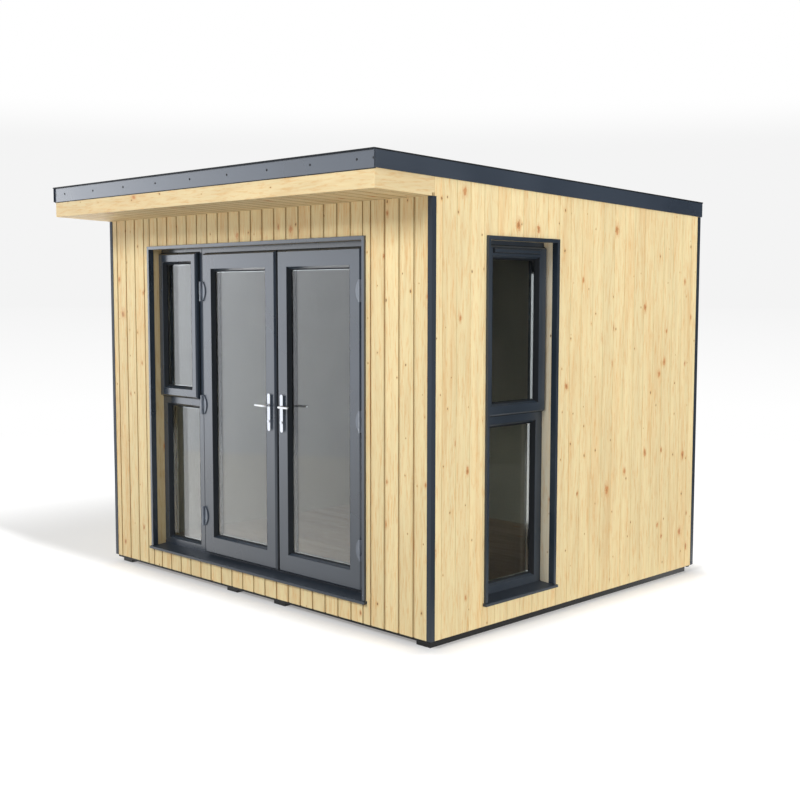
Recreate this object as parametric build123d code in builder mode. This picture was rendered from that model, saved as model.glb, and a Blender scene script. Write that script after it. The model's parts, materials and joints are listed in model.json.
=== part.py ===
from build123d import *
import os
from math import atan, degrees

os.makedirs("parts", exist_ok=True)

# Garden office pod: an insulated timber room under a single-pitch roof that reaches forward as a
# canopy. X runs left to right, the glazed front faces -Y and Z is up from the ground, all in mm.
# The origin is at ground level under the centre of the whole outline.

# ---- Driving sizes -----------------------------------------------------------------------------
wall_width = 2957           # over the cladding, left to right
wall_depth = 2512           # over the cladding, front to back
wall_thickness = 170        # cladding face to inner face
roof_height = 2495          # ground to the top of the front roof edge
roof_fall = 92              # how far the roof drops from its front edge to its back edge
canopy_reach = 399          # front roof edge ahead of the front cladding

bearer_height = 66
bearer_width = 100
bearer_inset = 35           # bearer ends and sides behind the cladding face
inner_bearer_offset = 227   # inner bearers either side of the middle
floor_top = 156             # finished floor, and the underside of the door and window sills

cladding_thickness = 18
cladding_bottom = 45
board_pitch = 106.5         # cover width of one cladding board
first_board = 77            # board beside the corner at the left end of each wall
panel_joint_inside = (-4, 9)         # joints of the front's wall panels, inside the cut's two edges
front_panel_boards = (90.5, 57.5)    # first board after each of those joints
groove_width = 13
groove_floor = 8
groove_depth = 6
corner_trim_leg = 28
corner_trim_thickness = 3

roof_build_up = 112         # roof panel with its ceiling, measured below the membrane
membrane_thickness = 3
flashing_height = 91
flashing_thickness = 3
flashing_flange = 70        # how far a flashing laps onto the roof
flashing_proud = 10         # outer face of the side and back flashings beyond the cladding
fascia_below_flashing = 94
fascia_thickness = 20
soffit_thickness = 15

# Openings, each given by the edges of the cladding cut
front_opening_left = 465    # from the left cladding face
front_opening_width = 2001
side_opening_front = 427.5  # from the front cladding face
side_opening_width = 581
opening_head = 2104.5       # top of the cut above the ground

trim_lap = 14.5             # opening trim over the cladding
trim_thickness = 2.5
trim_return = 24            # depth of the trim inside the opening, from the cladding face
trim_proud = 14             # trim face in front of the cladding
lining_cover = 3            # lining face inside the cladding cut
lining_thickness = 18       # timber lining of the openings

sill_reach = 24             # sill nose in front of the cladding
sill_nose = 15
sill_fall = 10
sill_overhang = 8           # sill past the trim at each end

# Frames, sashes and doors, with depths measured inward from the cladding face
leaf_at = 56                # outer face of the doors and opening sashes
leaf_thickness = 70
frame_at = 86               # outer face of the fixed frames
frame_thickness = 60
stop_thickness = 14         # inner leg of a frame, behind a closed leaf
stop_reach = 28
lip_overlap = 12            # leaf lip over the frame
lip_chamfer = 9
leaf_clearance = 6          # between a leaf and the frame round it
face_clearance = 5          # between a leaf lip and the frame face behind it
bead_slope = 17             # width and depth of the sloped bead in front of the glass
bead_depth = 24
glass_thickness = 24
glass_edge = 12             # glass behind its bead
glass_clearance = 2         # glass edge to the bottom of its pocket

side_light_width = 445.5    # from the left edge of the cut to the joint of window and door frames
coupling_gap = 3
side_light_sash_gap = 4.5   # lining to the side light's sash
side_light_sash_width = 408
side_light_stile = 38       # face widths, inside the chamfers
side_light_fixed_face = 44
side_window_sash_gap = 31.5
side_window_sash_width = 537
side_window_stile = 58
side_window_fixed_face = 57
sash_top = 2073
sash_bottom = 1160
sash_rail = 43
transom_depth = 48          # from the sash lip down to the lower pane
fixed_bottom_face = 66      # frame below the lower pane

door_edge_left = 43.5       # outer edge of the left door, from the joint of the two frames
door_edge_right = 87        # outer edge of the right door, inside the right edge of the cut
door_gap = 22               # between the two door faces
meeting_step = 4            # door body past its face at the meeting edge
door_top = 2064
door_bottom = 195
door_stile = 76
door_top_rail = 85
door_bottom_rail = 97

hinge_heights = (1832, 1128, 427)
hinge_length = 120
hinge_radius = 9
hinge_pin_radius = 4
hinge_pin_clearance = 0.4
hinge_pin_out = 10          # pin axis in front of the door face
hinge_pin_aside = 6         # pin axis outside the door edge
hinge_cover_width = 38      # curved cover on the door, from the pin axis
hinge_cover_thickness = 7
hinge_bracket_width = 12
knuckle_length = 34         # each frame knuckle, above and below the door's
knuckle_gap = 1

lever_height = 1166
lever_from_edge = 47        # lever axis from the meeting edge of its door
lever_length = 104
lever_bar_height = 15
lever_bar_thickness = 9
lever_standoff = 38         # lever bar's middle in front of the door face
lever_hub_radius = 9
spindle_radius = 5
spindle_clearance = 1
plate_width = 25
plate_length = 220
plate_above_lever = 71
plate_thickness = 12
plate_gap = 1               # between a turning hub and its plate
cylinder_radius = 9
cylinder_below_lever = 92
cylinder_proud = 5

vent_length = 393
vent_height = 22
vent_proud = 12
vent_bottom = 2036
vent_chamfer = 4

# ---- Faces and levels worked out from the driving sizes --------------------------------------------
overall_width = wall_width + flashing_proud + sill_reach
overall_depth = canopy_reach + wall_depth + flashing_proud
x_left = flashing_proud - overall_width / 2
x_right = x_left + wall_width
x_middle = (x_left + x_right) / 2
y_canopy = -overall_depth / 2
y_front = y_canopy + canopy_reach
y_back = y_front + wall_depth
core_left = x_left + cladding_thickness
core_right = x_right - cladding_thickness
core_front = y_front + cladding_thickness
core_back = y_back - cladding_thickness
room_left = x_left + wall_thickness
room_right = x_right - wall_thickness
room_front = y_front + wall_thickness
room_back = y_back - wall_thickness
roof_slope = roof_fall / overall_depth
deck_top = flashing_thickness + membrane_thickness    # top of the roof panel, below the roof's top
wall_top = deck_top + roof_build_up                   # top of the wall panels, below the roof's top
canopy_drop = flashing_height + fascia_below_flashing
soffit_top = canopy_drop - soffit_thickness

front_face = Plane(origin=(0, y_front, 0), x_dir=(1, 0, 0), z_dir=(0, -1, 0))
side_face = Plane(origin=(x_right, 0, 0), x_dir=(0, 1, 0), z_dir=(1, 0, 0))
front_left = x_left + front_opening_left
front_right = front_left + front_opening_width
side_front = y_front + side_opening_front
side_back = side_front + side_opening_width
lining_head = opening_head - lining_cover
bead_angle = degrees(atan(bead_slope / bead_depth))


def roof_z(y, below=0):
    """Height of the roof top above the ground at y, less a drop."""
    return roof_height - below - roof_slope * (y - y_canopy)


def rectangle_between(u0, u1, v0, v1):
    """A rectangle in the open sketch, given by its edges."""
    with Locations(((u0 + u1) / 2, (v0 + v1) / 2)):
        Rectangle(u1 - u0, v1 - v0)


def grown(edges, by):
    """Rectangle edges moved outward, or inward when by is negative."""
    u0, u1, v0, v1 = edges
    return (u0 - by, u1 + by, v0 - by, v1 + by)


def roof_following(x0, x1, y0, y1, top, bottom=None, level=None):
    """A piece from x0 to x1 whose top lies a drop below the roof, over a sloped or level bottom."""
    low0 = level if bottom is None else roof_z(y0, bottom)
    low1 = level if bottom is None else roof_z(y1, bottom)
    with BuildPart() as piece:
        with BuildSketch(Plane.YZ.offset(x0)):
            Polygon((y0, low0), (y1, low1), (y1, roof_z(y1, top)), (y0, roof_z(y0, top)), align=None)
        extrude(amount=x1 - x0)
    return piece


# ---- Base ----------------------------------------------------------------------------------------
bearer_places = {
    "bearer_left": x_left + bearer_inset + bearer_width / 2,
    "bearer_inner_left": x_middle - inner_bearer_offset,
    "bearer_inner_right": x_middle + inner_bearer_offset,
    "bearer_right": x_right - bearer_inset - bearer_width / 2,
}
for name, x in bearer_places.items():
    with BuildPart() as bearer:
        with BuildSketch():
            rectangle_between(x - bearer_width / 2, x + bearer_width / 2,
                              y_front + bearer_inset, y_back - bearer_inset)
        extrude(amount=bearer_height)
    bearer.part.label = name
    export_step(bearer.part, f"parts/{name}.step")

with BuildPart() as floor_panel:
    with BuildSketch(Plane.XY.offset(bearer_height)):
        rectangle_between(core_left, core_right, core_front, core_back)
    extrude(amount=floor_top - bearer_height)
floor_panel.part.label = "floor_panel"
export_step(floor_panel.part, "parts/floor_panel.step")

# ---- Wall panels -----------------------------------------------------------------------------------
# Lining boards stand in the gaps, so each gap is wider than the lined opening by their thickness
lining_outset = lining_thickness - lining_cover
gap_left = front_left - lining_outset
gap_right = front_right + lining_outset
gap_front = side_front - lining_outset
gap_back = side_back + lining_outset
gap_head = opening_head + lining_outset

wall_panels = {
    "front_wall_left": (core_left, gap_left, core_front, room_front, floor_top),
    "front_wall_right": (gap_right, core_right, core_front, room_front, floor_top),
    "front_wall_header": (gap_left, gap_right, core_front, room_front, gap_head),
    "back_wall": (core_left, core_right, room_back, core_back, floor_top),
    "left_wall": (core_left, room_left, room_front, room_back, floor_top),
    "right_wall_front": (room_right, core_right, room_front, gap_front, floor_top),
    "right_wall_back": (room_right, core_right, gap_back, room_back, floor_top),
    "right_wall_header": (room_right, core_right, gap_front, gap_back, gap_head),
}
for name, (x0, x1, y0, y1, bottom) in wall_panels.items():
    panel = roof_following(x0, x1, y0, y1, wall_top, level=bottom)
    panel.part.label = name
    export_step(panel.part, f"parts/{name}.step")


# ---- Cladding: one skin a wall, with a groove at each joint of its upright boards ----------------------
def board_joints(wall_length, panel_joints=(), panel_boards=()):
    """Distances of the grooves from a wall's left end, counted afresh from each panel joint."""
    places = list(panel_joints)
    starts = (0, *panel_joints)
    ends = (*panel_joints, wall_length)
    for start, first, end in zip(starts, (first_board, *panel_boards), ends):
        count = 1 + int((end - start - first - corner_trim_leg) / board_pitch)
        places.extend(start + first + board_pitch * i for i in range(count))
    return places


# Plan planes with X along each wall and Y pointing out of it
front_plan = Plane(origin=(0, y_front, 0), x_dir=(-1, 0, 0), z_dir=(0, 0, 1))
back_plan = Plane(origin=(0, y_back, 0), x_dir=(1, 0, 0), z_dir=(0, 0, 1))
left_plan = Plane(origin=(x_left, 0, 0), x_dir=(0, 1, 0), z_dir=(0, 0, 1))
right_plan = Plane(origin=(x_right, 0, 0), x_dir=(0, -1, 0), z_dir=(0, 0, 1))

# Each wall: its plan plane, the ends of its skin, its left-hand corner, its grooves and its top
front_panel_joints = (front_opening_left + panel_joint_inside[0],
                      front_opening_left + front_opening_width - panel_joint_inside[1])
front_joints = board_joints(wall_width, front_panel_joints, front_panel_boards)
cladding_walls = {
    "front_cladding": (front_plan, -x_right, -x_left, -x_left, front_joints, soffit_top),
    "back_cladding": (back_plan, x_left, x_right, x_right, board_joints(wall_width), deck_top),
    "left_cladding": (left_plan, core_front, core_back, y_back, board_joints(wall_depth), deck_top),
    "right_cladding": (right_plan, -core_back, -core_front, -y_front, board_joints(wall_depth),
                       deck_top),
}
cladding_cuts = {
    "front_cladding": (front_face, front_left, front_right),
    "right_cladding": (side_face, side_front, side_back),
}
for name, (plan, start, end, corner, joints, below) in cladding_walls.items():
    with BuildPart() as cladding:
        with BuildSketch(plan.offset(cladding_bottom)):
            rectangle_between(start, end, -cladding_thickness, 0)
            for distance in joints:
                with Locations((corner - distance, 0)):
                    Polygon((-groove_width / 2, 0), (-groove_floor / 2, -groove_depth),
                            (groove_floor / 2, -groove_depth), (groove_width / 2, 0),
                            align=None, mode=Mode.SUBTRACT)
        extrude(amount=roof_height - cladding_bottom)
        with BuildSketch(Plane.YZ.offset(x_left)):
            Polygon((y_front, roof_z(y_front, below)), (y_back, roof_z(y_back, below)),
                    (y_back, roof_height), (y_front, roof_height), align=None)
        extrude(amount=wall_width, mode=Mode.SUBTRACT)
        if name in cladding_cuts:
            face, left, right = cladding_cuts[name]
            with BuildSketch(face):
                rectangle_between(left, right, floor_top, opening_head)
            extrude(amount=-cladding_thickness, mode=Mode.SUBTRACT)
    cladding.part.label = name
    export_step(cladding.part, f"parts/{name}.step")

# ---- Corner trims: an angle on each upright edge ---------------------------------------------------
corner_places = (
    (x_left, y_front, 1, 1, canopy_drop),
    (x_right, y_front, -1, 1, canopy_drop),
    (x_left, y_back, 1, -1, flashing_height),
    (x_right, y_back, -1, -1, flashing_height),
)
with BuildPart() as corner_trims:
    for x, y, inward_x, inward_y, below in corner_places:
        out_x = -inward_x * corner_trim_thickness
        out_y = -inward_y * corner_trim_thickness
        leg_x = inward_x * corner_trim_leg
        leg_y = inward_y * corner_trim_leg
        with BuildSketch(Plane.XY.offset(cladding_bottom)):
            with Locations((x, y)):
                Polygon((out_x, out_y), (leg_x, out_y), (leg_x, 0), (0, 0), (0, leg_y),
                        (out_x, leg_y), align=None)
        extrude(amount=roof_z(max(y, y + leg_y), below) - cladding_bottom)
corner_trims.part.label = "corner_trims"
export_step(corner_trims.part, "parts/corner_trims.step")

# ---- Roof and canopy -------------------------------------------------------------------------------
flashing_left = x_left - flashing_proud
flashing_right = x_right + flashing_proud
flashing_back = y_back + flashing_proud
skin_left = flashing_left + flashing_thickness
skin_right = flashing_right - flashing_thickness
skin_front = y_canopy + flashing_thickness
skin_back = flashing_back - flashing_thickness
fascia_back = skin_front + fascia_thickness

roof_panel = roof_following(core_left, core_right, fascia_back, core_back, deck_top, wall_top)
roof_panel.part.label = "roof_panel"
export_step(roof_panel.part, "parts/roof_panel.step")

roof_membrane = roof_following(skin_left, skin_right, skin_front, skin_back,
                               flashing_thickness, deck_top)
roof_membrane.part.label = "roof_membrane"
export_step(roof_membrane.part, "parts/roof_membrane.step")

# The fascia board turns back along both ends of the canopy, over the ends of the front cladding
with BuildPart() as canopy_fascia:
    with BuildSketch(Plane.YZ.offset(x_left)):
        Polygon((skin_front, roof_z(skin_front, canopy_drop)), (y_front, roof_z(y_front, canopy_drop)),
                (y_front, roof_z(y_front, soffit_top)), (core_front, roof_z(core_front, soffit_top)),
                (core_front, roof_z(core_front, deck_top)), (skin_front, roof_z(skin_front, deck_top)),
                align=None)
    extrude(amount=wall_width)
    with BuildSketch(Plane.YZ.offset(core_left)):
        Polygon((fascia_back, roof_z(fascia_back, canopy_drop)),
                (core_front, roof_z(core_front, canopy_drop)), (core_front, roof_height),
                (fascia_back, roof_height), align=None)
    extrude(amount=core_right - core_left, mode=Mode.SUBTRACT)
canopy_fascia.part.label = "canopy_fascia"
export_step(canopy_fascia.part, "parts/canopy_fascia.step")

# The soffit boards run from front to back under the canopy and are grooved like the cladding
soffit_panel = roof_following(core_left, core_right, fascia_back, y_front, soffit_top, canopy_drop)
soffit_section = Plane(origin=(core_left, fascia_back, roof_z(fascia_back, canopy_drop)),
                       x_dir=(1, 0, 0), z_dir=(0, 1, -roof_slope))
with BuildPart() as canopy_soffit:
    add(soffit_panel.part)
    with BuildSketch(soffit_section.offset(-board_pitch)):
        for i in range(int((core_right - core_left - groove_width) / board_pitch)):
            with Locations((board_pitch * (i + 1), 0)):
                Polygon((-groove_width / 2, 0), (-groove_floor / 2, -groove_depth),
                        (groove_floor / 2, -groove_depth), (groove_width / 2, 0), align=None)
    extrude(amount=canopy_reach + 2 * board_pitch, mode=Mode.SUBTRACT)
canopy_soffit.part.label = "canopy_soffit"
export_step(canopy_soffit.part, "parts/canopy_soffit.step")

# Folded flashings: an upright leaf outside and a flange lapping onto the membrane
flashing_ends = {
    "front_flashing": (y_canopy, 1),
    "back_flashing": (flashing_back, -1),
}
for name, (y, inward) in flashing_ends.items():
    inner = y + inward * flashing_thickness
    lap = y + inward * flashing_flange
    with BuildPart() as flashing:
        with BuildSketch(Plane.YZ.offset(flashing_left)):
            Polygon((y, roof_z(y, flashing_height)), (inner, roof_z(inner, flashing_height)),
                    (inner, roof_z(inner, flashing_thickness)), (lap, roof_z(lap, flashing_thickness)),
                    (lap, roof_z(lap)), (y, roof_z(y)), align=None)
        extrude(amount=flashing_right - flashing_left)
    flashing.part.label = name
    export_step(flashing.part, f"parts/{name}.step")

with BuildPart() as side_flashings:
    for outer, inward in ((flashing_left, 1), (flashing_right, -1)):
        leaf_x = min(outer, outer + inward * flashing_thickness)
        flange_x = min(outer, outer + inward * flashing_flange)
        flange_front = y_canopy + flashing_flange
        flange_back = flashing_back - flashing_flange
        with BuildSketch(Plane.YZ.offset(leaf_x)):
            Polygon((skin_front, roof_z(skin_front, flashing_height)),
                    (skin_back, roof_z(skin_back, flashing_height)),
                    (skin_back, roof_z(skin_back, flashing_thickness)),
                    (skin_front, roof_z(skin_front, flashing_thickness)), align=None)
        extrude(amount=flashing_thickness)
        with BuildSketch(Plane.YZ.offset(flange_x)):
            Polygon((flange_front, roof_z(flange_front, flashing_thickness)),
                    (flange_back, roof_z(flange_back, flashing_thickness)),
                    (flange_back, roof_z(flange_back)), (flange_front, roof_z(flange_front)),
                    align=None)
        extrude(amount=flashing_flange)
side_flashings.part.label = "side_flashings"
export_step(side_flashings.part, "parts/side_flashings.step")


# ---- Opening trims, sills and timber linings -------------------------------------------------------
def sill_z(out):
    """Height of a sill's sloped top, a distance in front of the cladding face."""
    return floor_top + sill_nose + sill_fall * (sill_reach - out) / (sill_reach + frame_at)


lined_openings = {
    "front_opening": (front_face, front_left, front_right),
    "side_window": (side_face, side_front, side_back),
}
for name, (face, left, right) in lined_openings.items():
    outer = (left - trim_lap, right + trim_lap, sill_z(0), opening_head + trim_lap)
    lined = (left + lining_cover, right - lining_cover, sill_z(-trim_return), lining_head)
    inner = (lined[0] + trim_thickness, lined[1] - trim_thickness, sill_z(-trim_return),
             lined[3] - trim_thickness)

    # A folded trim on both sides and the head: a hollow face on the cladding and a return inside
    with BuildPart() as trim:
        with BuildSketch(face):
            rectangle_between(*outer)
        extrude(amount=trim_proud)
        with BuildSketch(face):
            rectangle_between(outer[0] + trim_thickness, outer[1] - trim_thickness,
                              outer[2], outer[3] - trim_thickness)
        extrude(amount=trim_proud - trim_thickness, mode=Mode.SUBTRACT)
        with BuildSketch(face.offset(trim_proud - trim_thickness)):
            rectangle_between(*lined)
        extrude(amount=-(trim_proud - trim_thickness + trim_return))
        with BuildSketch(face.offset(trim_proud)):
            rectangle_between(inner[0], inner[1], floor_top, inner[3])
        extrude(amount=-(trim_proud + trim_return), mode=Mode.SUBTRACT)
        with BuildSketch(face.offset(trim_proud)):
            rectangle_between(lined[0], lined[1], floor_top, sill_z(0))
        extrude(amount=-trim_proud, mode=Mode.SUBTRACT)
    trim.part.label = f"{name}_trim"
    export_step(trim.part, f"parts/{name}_trim.step")

    with BuildPart() as lining:
        with BuildSketch(face.offset(-cladding_thickness)):
            rectangle_between(lined[0] - lining_thickness, lined[1] + lining_thickness,
                              floor_top, lining_head + lining_thickness)
        extrude(amount=-(wall_thickness - cladding_thickness))
        with BuildSketch(face.offset(-cladding_thickness)):
            rectangle_between(lined[0], lined[1], floor_top, lining_head)
        extrude(amount=-(wall_thickness - cladding_thickness), mode=Mode.SUBTRACT)
    lining.part.label = f"{name}_lining"
    export_step(lining.part, f"parts/{name}_lining.step")

    # The sill's section is drawn square to the wall: its bed runs back to the frame, its nose out
    outward = face.z_dir
    section_dir = outward.cross(Vector(0, 0, 1))
    bed_end = Plane(origin=face.from_local_coords(Vector(lined[1], 0, 0)), x_dir=outward,
                    z_dir=section_dir)
    nose_end = Plane(origin=face.from_local_coords(Vector(outer[1] + sill_overhang, 0, 0)),
                     x_dir=outward, z_dir=section_dir)
    with BuildPart() as sill:
        with BuildSketch(bed_end):
            Polygon((-frame_at, floor_top), (0, floor_top), (0, sill_z(0)),
                    (-frame_at, sill_z(-frame_at)), align=None)
        extrude(amount=lined[1] - lined[0])
        with BuildSketch(nose_end):
            Polygon((0, floor_top), (sill_reach, floor_top), (sill_reach, sill_z(sill_reach)),
                    (0, sill_z(0)), align=None)
        extrude(amount=outer[1] - outer[0] + 2 * sill_overhang)
    sill.part.label = f"{name}_sill"
    export_step(sill.part, f"parts/{name}_sill.step")


# ---- Glazing shared by frames, sashes and doors ------------------------------------------------------
def glazing_cut(face, depth, aperture, through):
    """The space of a pane seen from outside: a sloped bead, a pocket for the glass and a way out."""
    sight = grown(aperture, -bead_slope)
    pocket_at = depth + bead_depth
    behind_at = pocket_at + glass_thickness
    with BuildPart() as space:
        with BuildSketch(face.offset(-depth)):
            rectangle_between(*aperture)
        extrude(amount=-bead_depth, taper=bead_angle)
        with BuildSketch(face.offset(-pocket_at)):
            rectangle_between(*grown(sight, glass_edge))
        extrude(amount=-glass_thickness)
        with BuildSketch(face.offset(-behind_at)):
            rectangle_between(*sight)
        extrude(amount=-(depth + through - behind_at))
    return space


def glass_pane(face, depth, aperture):
    """The sealed glass unit that fills the pocket behind a bead."""
    with BuildPart() as pane:
        with BuildSketch(face.offset(-(depth + bead_depth))):
            rectangle_between(*grown(aperture, glass_edge - glass_clearance - bead_slope))
        extrude(amount=-glass_thickness)
    return pane


lip_thickness = frame_at - face_clearance - leaf_at
body_at = leaf_at + lip_thickness
body_thickness = leaf_thickness - lip_thickness
stop_at = frame_at + frame_thickness - stop_thickness

# ---- Window units: a fixed frame with a lower pane, and an opening sash over it ------------------------
coupling = front_left + side_light_width
light_left = front_left + lining_cover
light_sash = light_left + side_light_sash_gap
window_left = side_front + lining_cover
window_sash = window_left + side_window_sash_gap
window_units = {
    "side_light": (front_face, light_left, coupling - coupling_gap / 2, light_sash,
                   side_light_sash_width, side_light_stile, side_light_fixed_face),
    "side_window": (side_face, window_left, side_back - lining_cover, window_sash,
                    side_window_sash_width, side_window_stile, side_window_fixed_face),
}
for name, (face, left, right, sash_left, sash_width, stile, fixed_face) in window_units.items():
    lip = (sash_left, sash_left + sash_width, sash_bottom, sash_top)
    body = grown(lip, -lip_overlap)
    sash_hole = grown(body, leaf_clearance)
    stop_hole = grown(sash_hole, -stop_reach)
    upper = (lip[0] + lip_chamfer + stile, lip[1] - lip_chamfer - stile,
             sash_bottom + lip_chamfer + sash_rail, sash_top - lip_chamfer - sash_rail)
    lower = (left + fixed_face, right - fixed_face, floor_top + fixed_bottom_face,
             sash_bottom - transom_depth)

    upper_space = glazing_cut(face, leaf_at, upper, leaf_thickness)
    lower_space = glazing_cut(face, frame_at, lower, frame_thickness)
    upper_pane = glass_pane(face, leaf_at, upper)
    lower_pane = glass_pane(face, frame_at, lower)

    with BuildPart() as frame:
        with BuildSketch(face.offset(-frame_at)):
            rectangle_between(left, right, floor_top, lining_head)
        extrude(amount=-frame_thickness)
        with BuildSketch(face.offset(-frame_at)):
            rectangle_between(*sash_hole)
        extrude(amount=-(frame_thickness - stop_thickness), mode=Mode.SUBTRACT)
        with BuildSketch(face.offset(-stop_at)):
            rectangle_between(*stop_hole)
        extrude(amount=-stop_thickness, mode=Mode.SUBTRACT)
        add(lower_space.part, mode=Mode.SUBTRACT)
    frame.part.label = f"{name}_frame"
    export_step(frame.part, f"parts/{name}_frame.step")

    with BuildPart() as sash:
        with BuildSketch(face.offset(-leaf_at)):
            rectangle_between(*lip)
        extrude(amount=-lip_thickness)
        outer_face = sash.faces().sort_by(Axis(face.origin, face.z_dir))[-1]
        chamfer(outer_face.edges(), lip_chamfer)
        with BuildSketch(face.offset(-body_at)):
            rectangle_between(*body)
        extrude(amount=-body_thickness)
        add(upper_space.part, mode=Mode.SUBTRACT)
    sash.part.label = f"{name}_sash"
    export_step(sash.part, f"parts/{name}_sash.step")

    with BuildPart() as glass:
        add(upper_pane.part)
        add(lower_pane.part)
    glass.part.label = f"{name}_glass"
    export_step(glass.part, f"parts/{name}_glass.step")

# A slim ventilator across the head of the side window's sash
vent_middle = window_sash + side_window_sash_width / 2
with BuildPart() as vent:
    with BuildSketch(side_face.offset(-leaf_at)):
        rectangle_between(vent_middle - vent_length / 2, vent_middle + vent_length / 2,
                          vent_bottom, vent_bottom + vent_height)
    extrude(amount=vent_proud)
    chamfer(vent.faces().sort_by(Axis.X)[-1].edges(), vent_chamfer)
vent.part.label = "side_window_vent"
export_step(vent.part, "parts/side_window_vent.step")

# ---- Door frame --------------------------------------------------------------------------------------
pair_left = coupling + door_edge_left
pair_right = front_right - door_edge_right
pair_middle = (pair_left + pair_right) / 2
pair_lip = (pair_left, pair_right, door_bottom, door_top)
pair_hole = grown(pair_lip, leaf_clearance - lip_overlap)

# Each door: hinge edge, meeting edge, and the way from hinge to meeting edge
doors = {
    "left_door": (pair_left, pair_middle - door_gap / 2, 1),
    "right_door": (pair_right, pair_middle + door_gap / 2, -1),
}
pin_y = y_front + leaf_at - hinge_pin_out
bracket_depth = frame_at - leaf_at + hinge_pin_out

with BuildPart() as door_frame:
    with BuildSketch(front_face.offset(-frame_at)):
        rectangle_between(coupling + coupling_gap / 2, front_right - lining_cover,
                          floor_top, lining_head)
    extrude(amount=-frame_thickness)
    with BuildSketch(front_face.offset(-frame_at)):
        rectangle_between(*pair_hole)
    extrude(amount=-(frame_thickness - stop_thickness), mode=Mode.SUBTRACT)
    with BuildSketch(front_face.offset(-stop_at)):
        rectangle_between(*grown(pair_hole, -stop_reach))
    extrude(amount=-stop_thickness, mode=Mode.SUBTRACT)
door_frame.part.label = "door_frame"
export_step(door_frame.part, "parts/door_frame.step")

# Frame halves of the hinges: a bracket off the frame with a knuckle and pin at each end
with BuildPart() as frame_hinges:
    for hinge_edge, _, way in doors.values():
        pin_x = hinge_edge - way * hinge_pin_aside
        bracket_x = pin_x - way * hinge_bracket_width / 2
        for height in hinge_heights:
            bottom = height - hinge_length / 2
            with BuildSketch(Plane.XY.offset(bottom)):
                with Locations((bracket_x, pin_y + bracket_depth / 2)):
                    Rectangle(hinge_bracket_width, bracket_depth)
                with Locations((pin_x, pin_y)):
                    Circle(hinge_radius)
            extrude(amount=hinge_length)
            with BuildSketch(Plane.XY.offset(bottom + knuckle_length)):
                with Locations((pin_x, pin_y)):
                    Circle(hinge_radius + knuckle_gap)
            extrude(amount=hinge_length - 2 * knuckle_length, mode=Mode.SUBTRACT)
            with BuildSketch(Plane.XY.offset(bottom)):
                with Locations((pin_x, pin_y)):
                    Circle(hinge_pin_radius)
            extrude(amount=hinge_length)
frame_hinges.part.label = "frame_hinges"
export_step(frame_hinges.part, "parts/frame_hinges.step")

# ---- Doors -------------------------------------------------------------------------------------------
leaf_front_y = y_front + leaf_at
plate_top = lever_height + plate_above_lever
plate_middle = plate_top - plate_length / 2
cylinder_height = lever_height - cylinder_below_lever

# The two faces of a closed door, and the way X runs on each
door_back = Plane(origin=(0, leaf_front_y + leaf_thickness, 0), x_dir=(-1, 0, 0), z_dir=(0, 1, 0))
door_sides = ((front_face.offset(-leaf_at), 1), (door_back, -1))

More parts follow.
